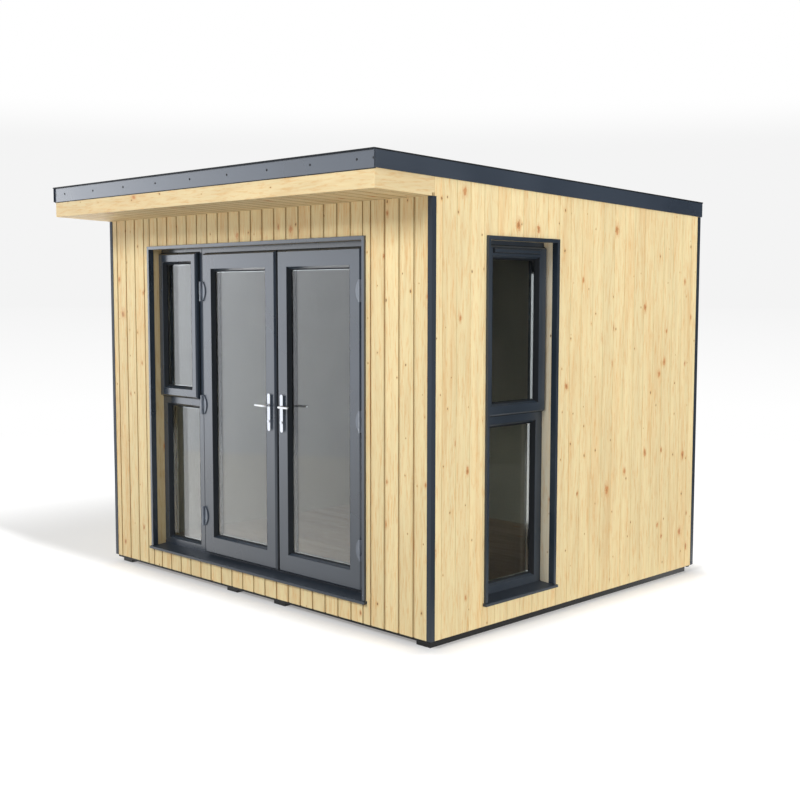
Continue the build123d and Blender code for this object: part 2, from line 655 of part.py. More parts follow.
for name, (hinge_edge, meeting_edge, way) in doors.items():
    lip_left = min(hinge_edge, meeting_edge)
    lip_right = max(hinge_edge, meeting_edge)
    body_edges = sorted((hinge_edge + way * lip_overlap, meeting_edge + way * meeting_step))
    aperture = (lip_left + lip_chamfer + door_stile, lip_right - lip_chamfer - door_stile,
                door_bottom + lip_chamfer + door_bottom_rail, door_top - lip_chamfer - door_top_rail)
    lever_x = meeting_edge - way * lever_from_edge
    pin_x = hinge_edge - way * hinge_pin_aside
    space = glazing_cut(front_face, leaf_at, aperture, leaf_thickness)

    with BuildPart() as leaf:
        with BuildSketch(front_face.offset(-leaf_at)):
            rectangle_between(lip_left, lip_right, door_bottom, door_top)
        extrude(amount=-lip_thickness)
        chamfer(leaf.faces().sort_by(Axis.Y)[0].edges(), lip_chamfer)
        with BuildSketch(front_face.offset(-body_at)):
            rectangle_between(*body_edges, door_bottom + lip_overlap, door_top - lip_overlap)
        extrude(amount=-body_thickness)
        add(space.part, mode=Mode.SUBTRACT)
        with BuildSketch(front_face.offset(-leaf_at)):
            with Locations((lever_x, lever_height)):
                Circle(spindle_radius + spindle_clearance)
        extrude(amount=-leaf_thickness, mode=Mode.SUBTRACT)
    leaf.part.label = f"{name}_leaf"
    export_step(leaf.part, f"parts/{name}_leaf.step")

    glass = glass_pane(front_face, leaf_at, aperture)
    glass.part.label = f"{name}_glass"
    export_step(glass.part, f"parts/{name}_glass.step")

    # Door halves of the hinges: a knuckle round the pin and a bow-shaped cover on the door's face
    with BuildPart() as hinges:
        for height in hinge_heights:
            middle_bottom = height - hinge_length / 2 + knuckle_length + knuckle_gap
            middle_length = hinge_length - 2 * (knuckle_length + knuckle_gap)
            with BuildSketch(Plane.XY.offset(middle_bottom)):
                with Locations((pin_x, pin_y)):
                    Circle(hinge_radius)
                with Locations((pin_x + way * hinge_cover_width / 4,
                                leaf_front_y - hinge_cover_thickness / 2)):
                    Rectangle(hinge_cover_width / 2, hinge_cover_thickness)
                with Locations((pin_x, pin_y)):
                    Circle(hinge_pin_radius + hinge_pin_clearance, mode=Mode.SUBTRACT)
            extrude(amount=middle_length)
            cover_near = pin_x + way * (hinge_radius + 2 * knuckle_gap)
            cover_far = pin_x + way * hinge_cover_width
            with BuildSketch(front_face.offset(-leaf_at)):
                with BuildLine():
                    ThreePointArc((cover_near, height - hinge_length / 2), (cover_far, height),
                                  (cover_near, height + hinge_length / 2))
                    Line((cover_near, height + hinge_length / 2),
                         (cover_near, height - hinge_length / 2))
                make_face()
            extrude(amount=hinge_cover_thickness)
    hinges.part.label = f"{name}_hinges"
    export_step(hinges.part, f"parts/{name}_hinges.step")

    # A long plate with rounded ends and a lock cylinder on each side of the door
    with BuildPart() as plates:
        for side, along in door_sides:
            with BuildSketch(side):
                with Locations((along * lever_x, plate_middle)):
                    SlotOverall(plate_length, plate_width, rotation=90)
                with Locations((along * lever_x, lever_height)):
                    Circle(spindle_radius + spindle_clearance, mode=Mode.SUBTRACT)
            extrude(amount=plate_thickness)
            with BuildSketch(side.offset(plate_thickness)):
                with Locations((along * lever_x, cylinder_height)):
                    Circle(cylinder_radius)
            extrude(amount=cylinder_proud)
    plates.part.label = f"{name}_handle_plates"
    export_step(plates.part, f"parts/{name}_handle_plates.step")

    # One spindle through the door carries a lever inside and outside
    bar_middle = lever_x - way * (lever_length / 2 - lever_hub_radius)
    with BuildPart() as lever:
        with BuildSketch(front_face.offset(-leaf_at + lever_standoff)):
            with Locations((lever_x, lever_height)):
                Circle(spindle_radius)
        extrude(amount=-(leaf_thickness + 2 * lever_standoff))
        for side, along in door_sides:
            with BuildSketch(side.offset(plate_thickness + plate_gap)):
                with Locations((along * lever_x, lever_height)):
                    Circle(lever_hub_radius)
            extrude(amount=lever_standoff - plate_thickness - plate_gap)
            with BuildSketch(side.offset(lever_standoff - lever_bar_thickness / 2)):
                with Locations((along * bar_middle, lever_height)):
                    SlotOverall(lever_length, lever_bar_height)
            extrude(amount=lever_bar_thickness)
    lever.part.label = f"{name}_lever"
    export_step(lever.part, f"parts/{name}_lever.step")
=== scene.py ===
# %% [markdown]
# A garden office pod: an insulated timber room with a canopy roof, glazed double doors, a side
# light and a tall side window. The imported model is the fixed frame; this script gives it its
# finishes and adds what repeats: cladding boards, floor planks, screws, glass panes and gaskets.

# %% Load the frame
import json
import math

import bmesh
import bpy
from mathutils import Matrix, Vector


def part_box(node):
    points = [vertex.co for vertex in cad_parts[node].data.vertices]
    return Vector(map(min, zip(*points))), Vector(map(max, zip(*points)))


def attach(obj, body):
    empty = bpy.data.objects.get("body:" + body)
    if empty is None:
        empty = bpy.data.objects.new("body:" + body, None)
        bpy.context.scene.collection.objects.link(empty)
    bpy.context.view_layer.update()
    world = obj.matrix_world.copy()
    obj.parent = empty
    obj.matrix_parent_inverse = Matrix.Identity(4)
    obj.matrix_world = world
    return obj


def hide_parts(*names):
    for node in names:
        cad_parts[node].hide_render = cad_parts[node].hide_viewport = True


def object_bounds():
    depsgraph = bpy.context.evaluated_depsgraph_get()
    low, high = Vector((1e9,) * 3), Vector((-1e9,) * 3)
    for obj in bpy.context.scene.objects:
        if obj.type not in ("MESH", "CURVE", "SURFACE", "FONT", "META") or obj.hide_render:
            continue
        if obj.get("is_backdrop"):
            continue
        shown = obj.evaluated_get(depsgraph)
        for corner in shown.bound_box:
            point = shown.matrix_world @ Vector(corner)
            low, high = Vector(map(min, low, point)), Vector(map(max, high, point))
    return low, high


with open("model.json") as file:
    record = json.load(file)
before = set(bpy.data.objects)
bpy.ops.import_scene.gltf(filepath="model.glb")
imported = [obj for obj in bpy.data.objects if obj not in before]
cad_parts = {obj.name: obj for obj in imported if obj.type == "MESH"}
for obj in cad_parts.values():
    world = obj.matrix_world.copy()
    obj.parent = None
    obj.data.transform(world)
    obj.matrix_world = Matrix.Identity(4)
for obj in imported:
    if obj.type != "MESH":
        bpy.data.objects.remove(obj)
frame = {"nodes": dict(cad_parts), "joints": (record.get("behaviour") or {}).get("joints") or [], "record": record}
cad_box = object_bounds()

print("whole box, m:", [[round(v, 3) for v in corner] for corner in cad_box])

# %% [markdown]
# The camera stands to the right of the front at a person's eye height and looks slightly down,
# through a moderately long lens, so that uprights stay nearly upright. It is aimed by its
# heading, tilt and roll, which give the three directions of its own axes.

# %% Camera
scene = bpy.context.scene


def new_object(name, data):
    """An object that is in the scene."""
    made = bpy.data.objects.new(name, data)
    scene.collection.objects.link(made)
    return made


eye = Vector((5.515, -5.355, 1.797))
heading, tilt, roll = math.radians(44.817), math.radians(-4.961), math.radians(0.082)
forward = Vector((-math.sin(heading) * math.cos(tilt), math.cos(heading) * math.cos(tilt),
                  math.sin(tilt)))
level = Vector((math.cos(heading), math.sin(heading), 0.0))
upward = level.cross(forward)
across = math.cos(roll) * level + math.sin(roll) * upward
upright = math.cos(roll) * upward - math.sin(roll) * level
camera = new_object("camera", bpy.data.cameras.new("camera"))
axes = Matrix((across, upright, -forward)).transposed()
camera.matrix_world = Matrix.Translation(eye) @ axes.to_4x4()
camera.data.sensor_width = 36.0
camera.data.lens = 53.2
camera.data.clip_end = 200.0
scene.camera = camera
scene.view_settings.view_transform = "Standard"
print("camera at", [round(v, 2) for v in eye], "looking along", [round(v, 2) for v in forward])

# %% [markdown]
# Shader and geometry trees are long to write node by node. So an output of a node is held as a
# wire that can be added, multiplied, moved from one range to another or mixed like a number or a
# colour, and each such step adds the node that does it.

# %% Helpers for shader and geometry trees
def fill(node, values):
    """Sets the inputs of a node, or links them where the value comes from another node."""
    for key, value in values.items():
        if isinstance(value, Wire):
            value = value.socket
        if isinstance(value, bpy.types.NodeSocket):
            value.id_data.links.new(value, node.inputs[key])
        else:
            node.inputs[key].default_value = value


def place(tree, kind, values=None, **settings):
    """One node, with its settings and inputs; a kind with no prefix is a shader node."""
    made = tree.nodes.new(kind if "Node" in kind else "ShaderNode" + kind)
    for key, value in settings.items():
        setattr(made, key, value)
    fill(made, values or {})
    return made


def tap(tree, kind, values=None, output=0, **settings):
    """One output of a new node, as a wire."""
    return Wire(place(tree, kind, values, **settings).outputs[output])


def taps(tree, kind, values=None, **settings):
    """All outputs of a new node, as wires by name."""
    outputs = place(tree, kind, values, **settings).outputs
    return {socket.name: Wire(socket) for socket in outputs}


def worked(operation, *values, kind="Math", output=0):
    """The result of one arithmetic step."""
    tree = next(value.tree for value in values if isinstance(value, Wire))
    return tap(tree, kind, dict(enumerate(values)), output, operation=operation)


def split(value, kind="SeparateXYZ"):
    """The three parts of a vector or a colour."""
    return list(taps(value.tree, kind, {0: value}).values())


class Wire:
    """An output of a node, with arithmetic."""

    def __init__(self, socket):
        self.socket, self.tree = socket, socket.id_data

    def __add__(self, other):
        return worked("ADD", self, other)

    def __sub__(self, other):
        return worked("SUBTRACT", self, other)

    def __rsub__(self, other):
        return worked("SUBTRACT", other, self)

    def __mul__(self, other):
        return worked("MULTIPLY", self, other)

    def __truediv__(self, other):
        return worked("DIVIDE", self, other)

    def __rtruediv__(self, other):
        return worked("DIVIDE", other, self)

    def __pow__(self, other):
        return worked("POWER", self, other)

    def most(self, other):
        """The larger of two numbers."""
        return worked("MAXIMUM", self, other)

    def clamped(self):
        """The result of the last step, held between 0 and 1."""
        self.socket.node.use_clamp = True
        return self

    def ramp(self, low, high, to_low=0.0, to_high=1.0, smooth=True):
        """The number moved from one range to another, held at the ends."""
        return tap(self.tree, "MapRange",
                   {"Value": self, "From Min": low, "From Max": high, "To Min": to_low,
                    "To Max": to_high},
                   interpolation_type="SMOOTHSTEP" if smooth else "LINEAR")

    def mixed(self, share, other, blend="MIX"):
        """The colour mixed with another by a share."""
        return tap(self.tree, "Mix", {0: share, 6: self, 7: other}, 2,
                   data_type="RGBA", blend_type=blend)

    def toned(self, tone):
        """The colour made lighter or darker."""
        grey = tap(self.tree, "CombineColor", {0: tone, 1: tone, 2: tone})
        return self.mixed(1.0, grey, "MULTIPLY")


def open_group(name, kind, inputs, outputs):
    """A node group with named sockets: the group, its inputs as wires and its output node."""
    group = bpy.data.node_groups.new(name, kind)
    for way, sockets in (("INPUT", inputs), ("OUTPUT", outputs)):
        for label, socket_type, *value in sockets:
            socket = group.interface.new_socket(name=label, in_out=way,
                                                socket_type="NodeSocket" + socket_type)
            if value:
                socket.default_value = value[0]
    entry = group.nodes.new("NodeGroupInput")
    given = {socket.name: Wire(socket) for socket in entry.outputs}
    return group, given, group.nodes.new("NodeGroupOutput")


def colour(red, green, blue):
    """A colour written as a screen shows it, 0 to 255, turned into light."""
    def light(channel):
        share = channel / 255
        return share / 12.92 if share <= 0.04045 else ((share + 0.055) / 1.055) ** 2.4
    return (light(red), light(green), light(blue), 1.0)


# %% [markdown]
# Pine has four things to show: fine streaks along the grain, slow growth bands that make pointed
# arches, orange knots that the bands flow around, and a scatter of small dark pin knots. The group
# is fed by distances along and across the grain, so it never repeats, and each board's own number
# moves it to a different place in the same endless timber.

# %% Shader group: pine
def pine_group():
    """Colour, roughness and height of planed pine."""
    group, given, result = open_group(
        "Pine grain", "ShaderNodeTree",
        [("Along", "Float"), ("Across", "Float"), ("Depth", "Float"), ("Board", "Float"),
         ("Knots", "Float", 0.8), ("Pale", "Color", (0.8, 0.6, 0.36, 1)),
         ("Grain", "Color", (0.7, 0.45, 0.2, 1)), ("Knot", "Color", (0.4, 0.15, 0.04, 1))],
        [("Color", "Color"), ("Roughness", "Float"), ("Height", "Float")])
    shift = given["Board"] * 57.3
    wide = given["Across"] + shift
    along = given["Along"] + shift * 3.1

    def noise(stretch, scale, detail=2.0, roughness=0.5):
        """Noise drawn out along the grain; a smaller stretch gives longer streaks."""
        spot = tap(group, "CombineXYZ", {0: wide, 1: along * stretch, 2: given["Depth"]})
        return tap(group, "TexNoise", {"Vector": spot, "Scale": scale,
                                                 "Detail": detail, "Roughness": roughness})

    # A knot's outline is ragged in the fine and lopsided in the large
    wobble = (noise(1.0, 150.0) - 0.5) * 1.1 + (noise(0.7, 52.0) - 0.5) * 2.2

    def knots(cell_wide, cell_long, share, smallest, largest):
        """Knots, one to a cell: which are there, how far each point is, in metres and in radii."""
        cell = tap(group, "CombineXYZ", {0: wide / cell_wide, 1: along / cell_long})
        nearest = taps(group, "TexVoronoi", {"Vector": cell, "Scale": 1.0},
                       voronoi_dimensions="2D")
        away = worked("SUBTRACT", cell, nearest["Position"], kind="VectorMath")
        metres = worked("MULTIPLY", away, (cell_wide, cell_long * 0.6, 0.0), kind="VectorMath")
        distance = worked("LENGTH", metres, kind="VectorMath", output="Value")
        dice = split(nearest["Color"], "SeparateColor")
        there = worked("LESS_THAN", dice[0], given["Knots"] * share)
        radius = (dice[1] ** 1.6).ramp(0.0, 1.0, smallest, largest, False)
        return there, distance, distance / radius + wobble

    def spread(there, reach, outer, inner):
        """A soft spot that is full inside one number of radii and gone outside another."""
        return there * reach.ramp(outer, inner)

    # Orange knots with a halo and a dark heart, then pin knots
    there, distance, reach = knots(0.22, 0.44, 0.7, 0.006, 0.0145)
    halo, knot, heart = (spread(there, reach, outer, inner)
                         for outer, inner in ((2.7, 0.9), (1.25, 0.8), (0.5, 0.2)))
    pin_there, _, pin_reach = knots(0.125, 0.27, 0.8, 0.0016, 0.0044)
    pin_halo, pin = (spread(pin_there, pin_reach, outer, inner)
                     for outer, inner in ((3.6, 1.0), (1.4, 0.7)))

    # Growth bands: a slow stretched noise, cut into stripes, that closes up around each knot
    swirl = spread(there, distance, 0.06, 0.0) * 0.05
    phase = (noise(0.08, 8.0, 1.5, 0.4) + swirl) * 120.0
    stripe = (worked("SINE", phase) * 0.5 + 0.5) ** 2.0
    streak = noise(0.02, 420.0, 3.0, 0.6)
    patch = noise(0.12, 21.0)
    tinge = noise(0.09, 9.0)
    flame = noise(0.13, 68.0, 3.0, 0.7)

    share = stripe * patch.ramp(0.3, 0.72, 0.03, 0.3) + streak.ramp(0.35, 0.72, 0.0, 0.24)
    share = share + tinge.ramp(0.48, 0.7, 0.0, 0.3) + flame.ramp(0.48, 0.7, 0.0, 0.6)
    share = (share + pin_halo * 0.5).clamped()
    tone = worked("FRACT", given["Board"] * 7.7).ramp(0.0, 1.0, 0.93, 1.03, False)
    timber = given["Pale"].mixed(share, given["Grain"])
    timber = timber.toned(tone * patch.ramp(0.25, 0.75, 1.03, 0.95))
    dark = given["Knot"].mixed(0.72, (0.01, 0.006, 0.004, 1.0))
    for mark, strength, stain in ((halo, 0.3, given["Knot"]), (knot, 0.74, given["Knot"]),
                                  (heart, 0.42, dark), (pin, 0.8, dark)):
        timber = timber.mixed(mark * strength, stain)
    fill(result, {"Color": timber, "Roughness": streak.ramp(0.3, 0.7, 0.56, 0.68) - knot * 0.2,
                  "Height": streak * 0.4 - stripe * 0.35 - heart * 0.5})
    return group


PINE = pine_group()
print("pine group:", len(PINE.nodes), "nodes")

# %% [markdown]
# A powder coat and a foiled frame are smooth but never perfectly so. This group gives the faint
# ripple of a sprayed coat, a slow drift in tone, and a film of dust that settles near the ground
# and roughens it there. Its gloss also thins from 1.3 m down to the floor, so that lower parts
# mirror less and look darker towards the bottom.

# %% Shader group: coated surface
def coat_group():
    """Colour, roughness, height and gloss of a coated surface."""
    group, given, result = open_group(
        "Coated surface", "ShaderNodeTree",
        [("Place", "Vector"), ("Base", "Color", (0.05, 0.06, 0.08, 1)),
         ("Dust", "Color", (0.30, 0.28, 0.25, 1)), ("Dust height", "Float", 0.35),
         ("Ripple size", "Float", 900.0), ("Smoothness", "Float", 0.36)],
        [("Color", "Color"), ("Roughness", "Float"), ("Height", "Float"), ("Gloss", "Float")])
    ripple, drift = (tap(group, "TexNoise",
                         {"Vector": given["Place"], "Scale": scale, "Detail": 1.0})
                     for scale in (given["Ripple size"], 2.2))
    high = split(given["Place"])[2]
    low = high / given["Dust height"]
    dust = high.ramp(0.0, 1.0, 1.0, 0.0) * drift.ramp(0.4, 0.8, 0.0, 0.03)
    dust = dust + low.ramp(0.0, 1.0, 1.0, 0.0) * 0.04
    toned = given["Base"].toned(drift.ramp(0.3, 0.7, 0.9, 1.1))
    rough = given["Smoothness"] + drift.ramp(0.3, 0.7, -0.04, 0.07) + dust * 0.5
    # The gloss thins from 1.3 m down to the floor: darker towards the bottom
    fill(result, {"Color": toned.mixed(dust, given["Dust"]), "Roughness": rough,
                  "Height": ripple, "Gloss": high.ramp(0.1, 1.3, 0.3, 1.0)})
    return group


COAT = coat_group()
print("coat group:", len(COAT.nodes), "nodes")

# %% [markdown]
# Each material keeps its own Principled shader and takes colour, roughness and height from a
# group. Distances come from Object coordinates, which are metres in the shared frame, so grain
# and ripple have their true size on every piece.

# %% Materials
PALE_PINE, PINE_GRAIN, PINE_KNOT = (237, 220, 171), (226, 183, 124), (199, 128, 66)
# Painted shade: a darker copy of the pine for the fascia and the soffit, which the lamps and the floor's bounce
# would otherwise show too bright
SHADED_PINE, SHADED_GRAIN = (222, 203, 158), (212, 173, 119)
# Painted shade: the faces in a groove are multiplied towards this brown
GROOVE_SHADE_TINT = (0.32, 0.22, 0.13, 1.0)
GRAIN_RELIEF = 0.0006  # metres
ANTHRACITE = (43, 53, 65)


def new_material(name):
    """A new material: itself, its tree, its Principled shader and its Object coordinates."""
    made = bpy.data.materials.new(name)
    made.use_nodes = True
    tree = made.node_tree
    return made, tree, tree.nodes["Principled BSDF"], tap(tree, "TexCoord", output="Object")


def bump(height, depth):
    """A height turned into a normal, with its depth in metres."""
    return tap(height.tree, "Bump", {"Height": height, "Distance": depth, "Strength": 1.0})


def blended(share, first, second):
    """Two shaders blended by a share."""
    return tap(share.tree, "MixShader", {0: share, 1: first, 2: second})


def show(surface):
    """Puts a shader on the material's output."""
    fill(surface.tree.nodes["Material Output"], {"Surface": surface})


def pine(name, grain, in_boards=False, pale=PALE_PINE, dark=PINE_GRAIN, knots=0.8):
    """Pine with its grain along "x", "y", "z" or "turning" with a fascia round its corners.

    Boards of a row each have a number, and know which of their faces lie in a groove, where
    painted shade darkens them.
    """
    made, tree, shader, spot = new_material(name)
    x, y, z = split(spot)
    if grain == "turning":
        normal = split(tap(tree, "NewGeometry", output="Normal"))[0]
        side = worked("GREATER_THAN", worked("ABSOLUTE", normal), 0.7)
        along = side * y + (1.0 - side) * x
        wide = z + side * 3.7
        deep = x + y - along
    else:
        along = {"x": x, "y": y, "z": z}[grain]
        first, second = {"x": (y, z), "y": (x, z), "z": (x, y)}[grain]
        wide, deep = first + second, first - second
    board, groove = (tap(tree, "Attribute", output="Fac", attribute_name=label)
                     for label in ("board", "groove")) if in_boards else (0.5, None)
    timber = taps(tree, "Group",
                  {"Along": along, "Across": wide, "Depth": deep, "Board": board,
                   "Knots": knots, "Pale": colour(*pale), "Grain": colour(*dark),
                   "Knot": colour(*PINE_KNOT)}, node_tree=PINE)
    face = timber["Color"]
    # Painted shade in the grooves of a row of boards
    if in_boards:
        face = face.mixed(groove, GROOVE_SHADE_TINT, "MULTIPLY")
    fill(shader, {"Base Color": face, "Roughness": timber["Roughness"],
                  "Specular IOR Level": 0.3, "Normal": bump(timber["Height"], GRAIN_RELIEF)})
    return made


def coated(name, base, smoothness=0.36, ripple=260.0, depth=0.00002, metallic=0.0,
           ior_level=0.5, clear=0.0):
    """A smooth coated surface in one colour, with a clear coat on it if wanted."""
    made, tree, shader, spot = new_material(name)
    skin = taps(tree, "Group", {"Place": spot, "Base": colour(*base),
                                          "Smoothness": smoothness, "Ripple size": ripple},
                node_tree=COAT)
    fill(shader, {"Base Color": skin["Color"], "Roughness": skin["Roughness"],
                  "Metallic": metallic, "Specular IOR Level": ior_level, "Coat IOR": 1.8,
                  "Coat Roughness": 0.2, "Normal": bump(skin["Height"], depth)})
    if clear:
        fill(shader, {"Coat Weight": skin["Gloss"] * clear})
    return made


def glass_material(name):
    """Clear glass that lets light through to the room as well as sight."""
    made, tree, shader, spot = new_material(name)
    smear = tap(tree, "TexNoise", {"Vector": spot, "Scale": 2.3, "Detail": 3.0})
    fill(shader, {"Base Color": (0.87, 0.88, 0.87, 1.0), "Transmission Weight": 1.0,
                  "IOR": 1.52, "Roughness": smear.ramp(0.35, 0.75, 0.0, 0.025)})
    clear = tap(tree, "BsdfTransparent", {"Color": (0.6, 0.62, 0.6, 1.0)})
    shadow = tap(tree, "LightPath", output="Is Shadow Ray")
    show(blended(shadow, shader.outputs[0], clear))
    return made


MATERIALS = {
    "cladding": pine("pine_cladding_boards", "z", True),
    "fascia": pine("pine_fascia_painted_shade", "turning", pale=SHADED_PINE, dark=SHADED_GRAIN),
    "soffit": pine("pine_soffit_painted_shade", "y", True, pale=SHADED_PINE, dark=SHADED_GRAIN),
    # Painted light: the side window's lining is paler than the other pine, to lift its shaded reveal. Painted
    # shade: the front opening's lining is darker, for the shade in its reveal
    "lining": pine("pine_side_lining_painted_light", "z", pale=(250, 241, 216), dark=(240, 214, 170)),
    "shaded lining": pine("pine_front_lining_painted_shade", "z", pale=(196, 180, 140),
                          dark=(182, 152, 106)),
    "planks": pine("brown_floor_planks", "x", True, pale=(200, 177, 153),
                   dark=(168, 140, 116), knots=0.1),
    "subfloor": pine("floor_board_edge", "x", pale=(120, 96, 72), dark=(90, 66, 46)),
    # Partly painted shade: the near-black base rail also stands for the shadow under the boards
    "joist": pine("tarred_rail_and_painted_shade", "x", pale=(20, 20, 20), dark=(12, 12, 12), knots=0.2),
    "bearer": pine("dark_bearer", "y", pale=(27, 26, 25), dark=(16, 15, 15),
                   knots=0.2),
    "coat": coated("anthracite_coat", ANTHRACITE, 0.3, clear=0.9),
    "flashing": coated("anthracite_flashing", (52, 62, 75), 0.3, clear=0.9),
    "corner": coated("anthracite_corner", (40, 49, 60), 0.5, ior_level=0.3),
    "sill": coated("anthracite_sill", (44, 53, 64), 0.36, ior_level=0.4, clear=0.1),
    # Painted shade: the side window's frame, trim and vent take a darker copy of the anthracite with less gloss
    "side frame": coated("anthracite_side_frame_painted_shade", (38, 49, 61), 0.4, clear=0.25),
    "frame": coated("anthracite_frame", ANTHRACITE, 0.28, clear=1.0),
    "hinge": coated("hinge_coat", (92, 100, 112), 0.26, clear=0.8),
    "screw": coated("dark_screw", (34, 37, 42), 0.45),
    "chrome": coated("polished_handle", (226, 228, 232), 0.12, depth=0.000004, metallic=1.0),
    "spacer": coated("spacer_metal", (244, 245, 246), 0.08, depth=0.000004, metallic=1.0),
    "rubber": coated("black_gasket", (19, 24, 29), 0.62, ior_level=0.3),
    "membrane": coated("roof_membrane", (44, 46, 50), 0.72, 240.0, 0.0004),
    # Painted shade: the room's lining is a mid grey-beige, darker than a white lining, so that the unlit room
    # reads dark through the glass
    "panel": coated("room_lining_painted_shade", (180, 178, 164), 0.6, 180.0),
    "glass": glass_material("clear_glass"),
}
print("materials:", ", ".join(sorted(MATERIALS)))

# %% [markdown]
# Most nodes already have the right shape, so they only take a finish. Folded metal, frames and
# planed timber have small rounded edges that catch the light; those get a bevelled copy that
# stands for the node. The copy is merged and its flat faces joined first, so that the bevel runs
# along real edges only.

# %% Helpers for pieces
BODY_OF = {name: body for body, names in frame["record"]["behaviour"]["bodies"].items()
           for name in names}
MERGE_WITHIN = 0.00002  # metres
FLAT, SHARP = math.radians(1.0), math.radians(30.0)
BLOCK_SIDES = ((0, 2, 3, 1), (4, 5, 7, 6), (0, 1, 5, 4), (2, 6, 7, 3), (0, 4, 6, 2), (1, 3, 7, 5))


def set_finish(mesh, material):
    """Gives a mesh one material."""
    mesh.materials.clear()
    mesh.materials.append(MATERIALS[material])


def mesh_from(name, work):
    """A mesh datablock from an edited mesh, which is then freed."""
    mesh = bpy.data.meshes.new(name)
    work.to_mesh(mesh)
    work.free()
    return mesh


def add_piece(name, mesh, material, body="building", stands_for=()):
    """A mesh as a piece that rides on a body and may stand for nodes."""
    if isinstance(mesh, bmesh.types.BMesh):
        mesh = mesh_from(name, mesh)
    piece = new_object(name, mesh)
    set_finish(mesh, material)
    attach(piece, body)
    if stands_for:
        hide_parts(*stands_for)
    print(name, len(mesh.polygons), "faces")
    return piece


def merged_copy(node):
    """An edited mesh of a node with its corners merged."""
    work = bmesh.new()
    work.from_mesh(frame["nodes"][node].data)
    bmesh.ops.remove_doubles(work, verts=work.verts, dist=MERGE_WITHIN)
    return work


def softened(node, material, width, segments=2):
    """A copy of a CAD node that stands for it, with its sharp edges rounded."""
    work = merged_copy(node)
    bmesh.ops.dissolve_limit(work, angle_limit=FLAT, verts=work.verts, edges=work.edges)
    sharp = [e for e in work.edges if len(e.link_faces) == 2 and e.calc_face_angle() > SHARP]
    bmesh.ops.bevel(work, geom=sharp, offset=width, segments=segments, profile=0.5,
                    affect="EDGES", clamp_overlap=True)
    add_piece(node + "_softened", work, material, BODY_OF[node], (node,))


def add_block(work, low, high, round_by):
    """A closed block between two corners, with rounded edges."""
    corners = [work.verts.new((x, y, z)) for z in (low[2], high[2]) for y in (low[1], high[1])
               for x in (low[0], high[0])]
    faces = [work.faces.new([corners[i] for i in order]) for order in BLOCK_SIDES]
    edges = list({e for f in faces for e in f.edges})
    bmesh.ops.bevel(work, geom=edges, offset=round_by, segments=1, affect="EDGES")


def add_blocks(name, blocks, round_by, material, body="building"):
    """A piece made of rounded blocks, each given by its two corners."""
    work = bmesh.new()
    for low, high in blocks:
        add_block(work, low, high, round_by)
    add_piece(name, work, material, body)


def join_loops(work, loops, around=True):
    """Closed skin between loops of corners, back to the first one or with a cap at each end."""
    made = []
    count = len(loops[0])
    for a, b in zip(loops, loops[1:] + (loops[:1] if around else [])):
        for k in range(count):
            following = (k + 1) % count
            made.append(work.faces.new((a[k], a[following], b[following], b[k])))
    if not around:
        made.append(work.faces.new(loops[0][::-1]))
        made.append(work.faces.new(loops[-1]))
    bmesh.ops.recalc_face_normals(work, faces=made)


# %% Nodes that keep their shape
KEPT = {
    "bearer": ["bearer_left", "bearer_inner_left", "bearer_inner_right", "bearer_right"],
    "subfloor": ["floor_panel"],
    "panel": ["front_wall_left", "front_wall_right", "front_wall_header", "back_wall", "left_wall",
              "right_wall_front", "right_wall_back", "right_wall_header", "roof_panel"],
    "membrane": ["roof_membrane"],
}
for material, nodes in KEPT.items():
    for node in nodes:
        set_finish(frame["nodes"][node].data, material)
print("kept nodes:", sum(len(nodes) for nodes in KEPT.values()))

# %% Nodes that get rounded edges
SOFTENED = [
    ("coat", 0.0010, ["front_opening_trim"]),
    ("side frame", 0.0010, ["side_window_trim"]),
    ("flashing", 0.0010, ["front_flashing", "back_flashing", "side_flashings"]),
    ("corner", 0.0010, ["corner_trims"]),
    ("sill", 0.0010, ["front_opening_sill", "side_window_sill"]),
    ("frame", 0.0014, ["side_light_frame", "side_light_sash", "door_frame", "left_door_leaf",
                       "right_door_leaf"]),
    ("side frame", 0.0014, ["side_window_frame", "side_window_sash", "side_window_vent"]),
    ("hinge", 0.0012, ["frame_hinges", "left_door_hinges", "right_door_hinges"]),
    ("fascia", 0.0016, ["canopy_fascia"]),
    ("lining", 0.0015, ["side_window_lining"]),
    ("shaded lining", 0.0015, ["front_opening_lining"]),
]
for material, width, nodes in SOFTENED:
    for node in nodes:
        softened(node, material, width)

# %% [markdown]
# Cladding is one board repeated along a wall, which is what Geometry Nodes are for. Each wall is
# given as a row of points, one a board, with the board's width and height; the tree sets the
# same grooved section on every point, numbers the boards at random for the grain, and cuts the
# opening out of the whole row.

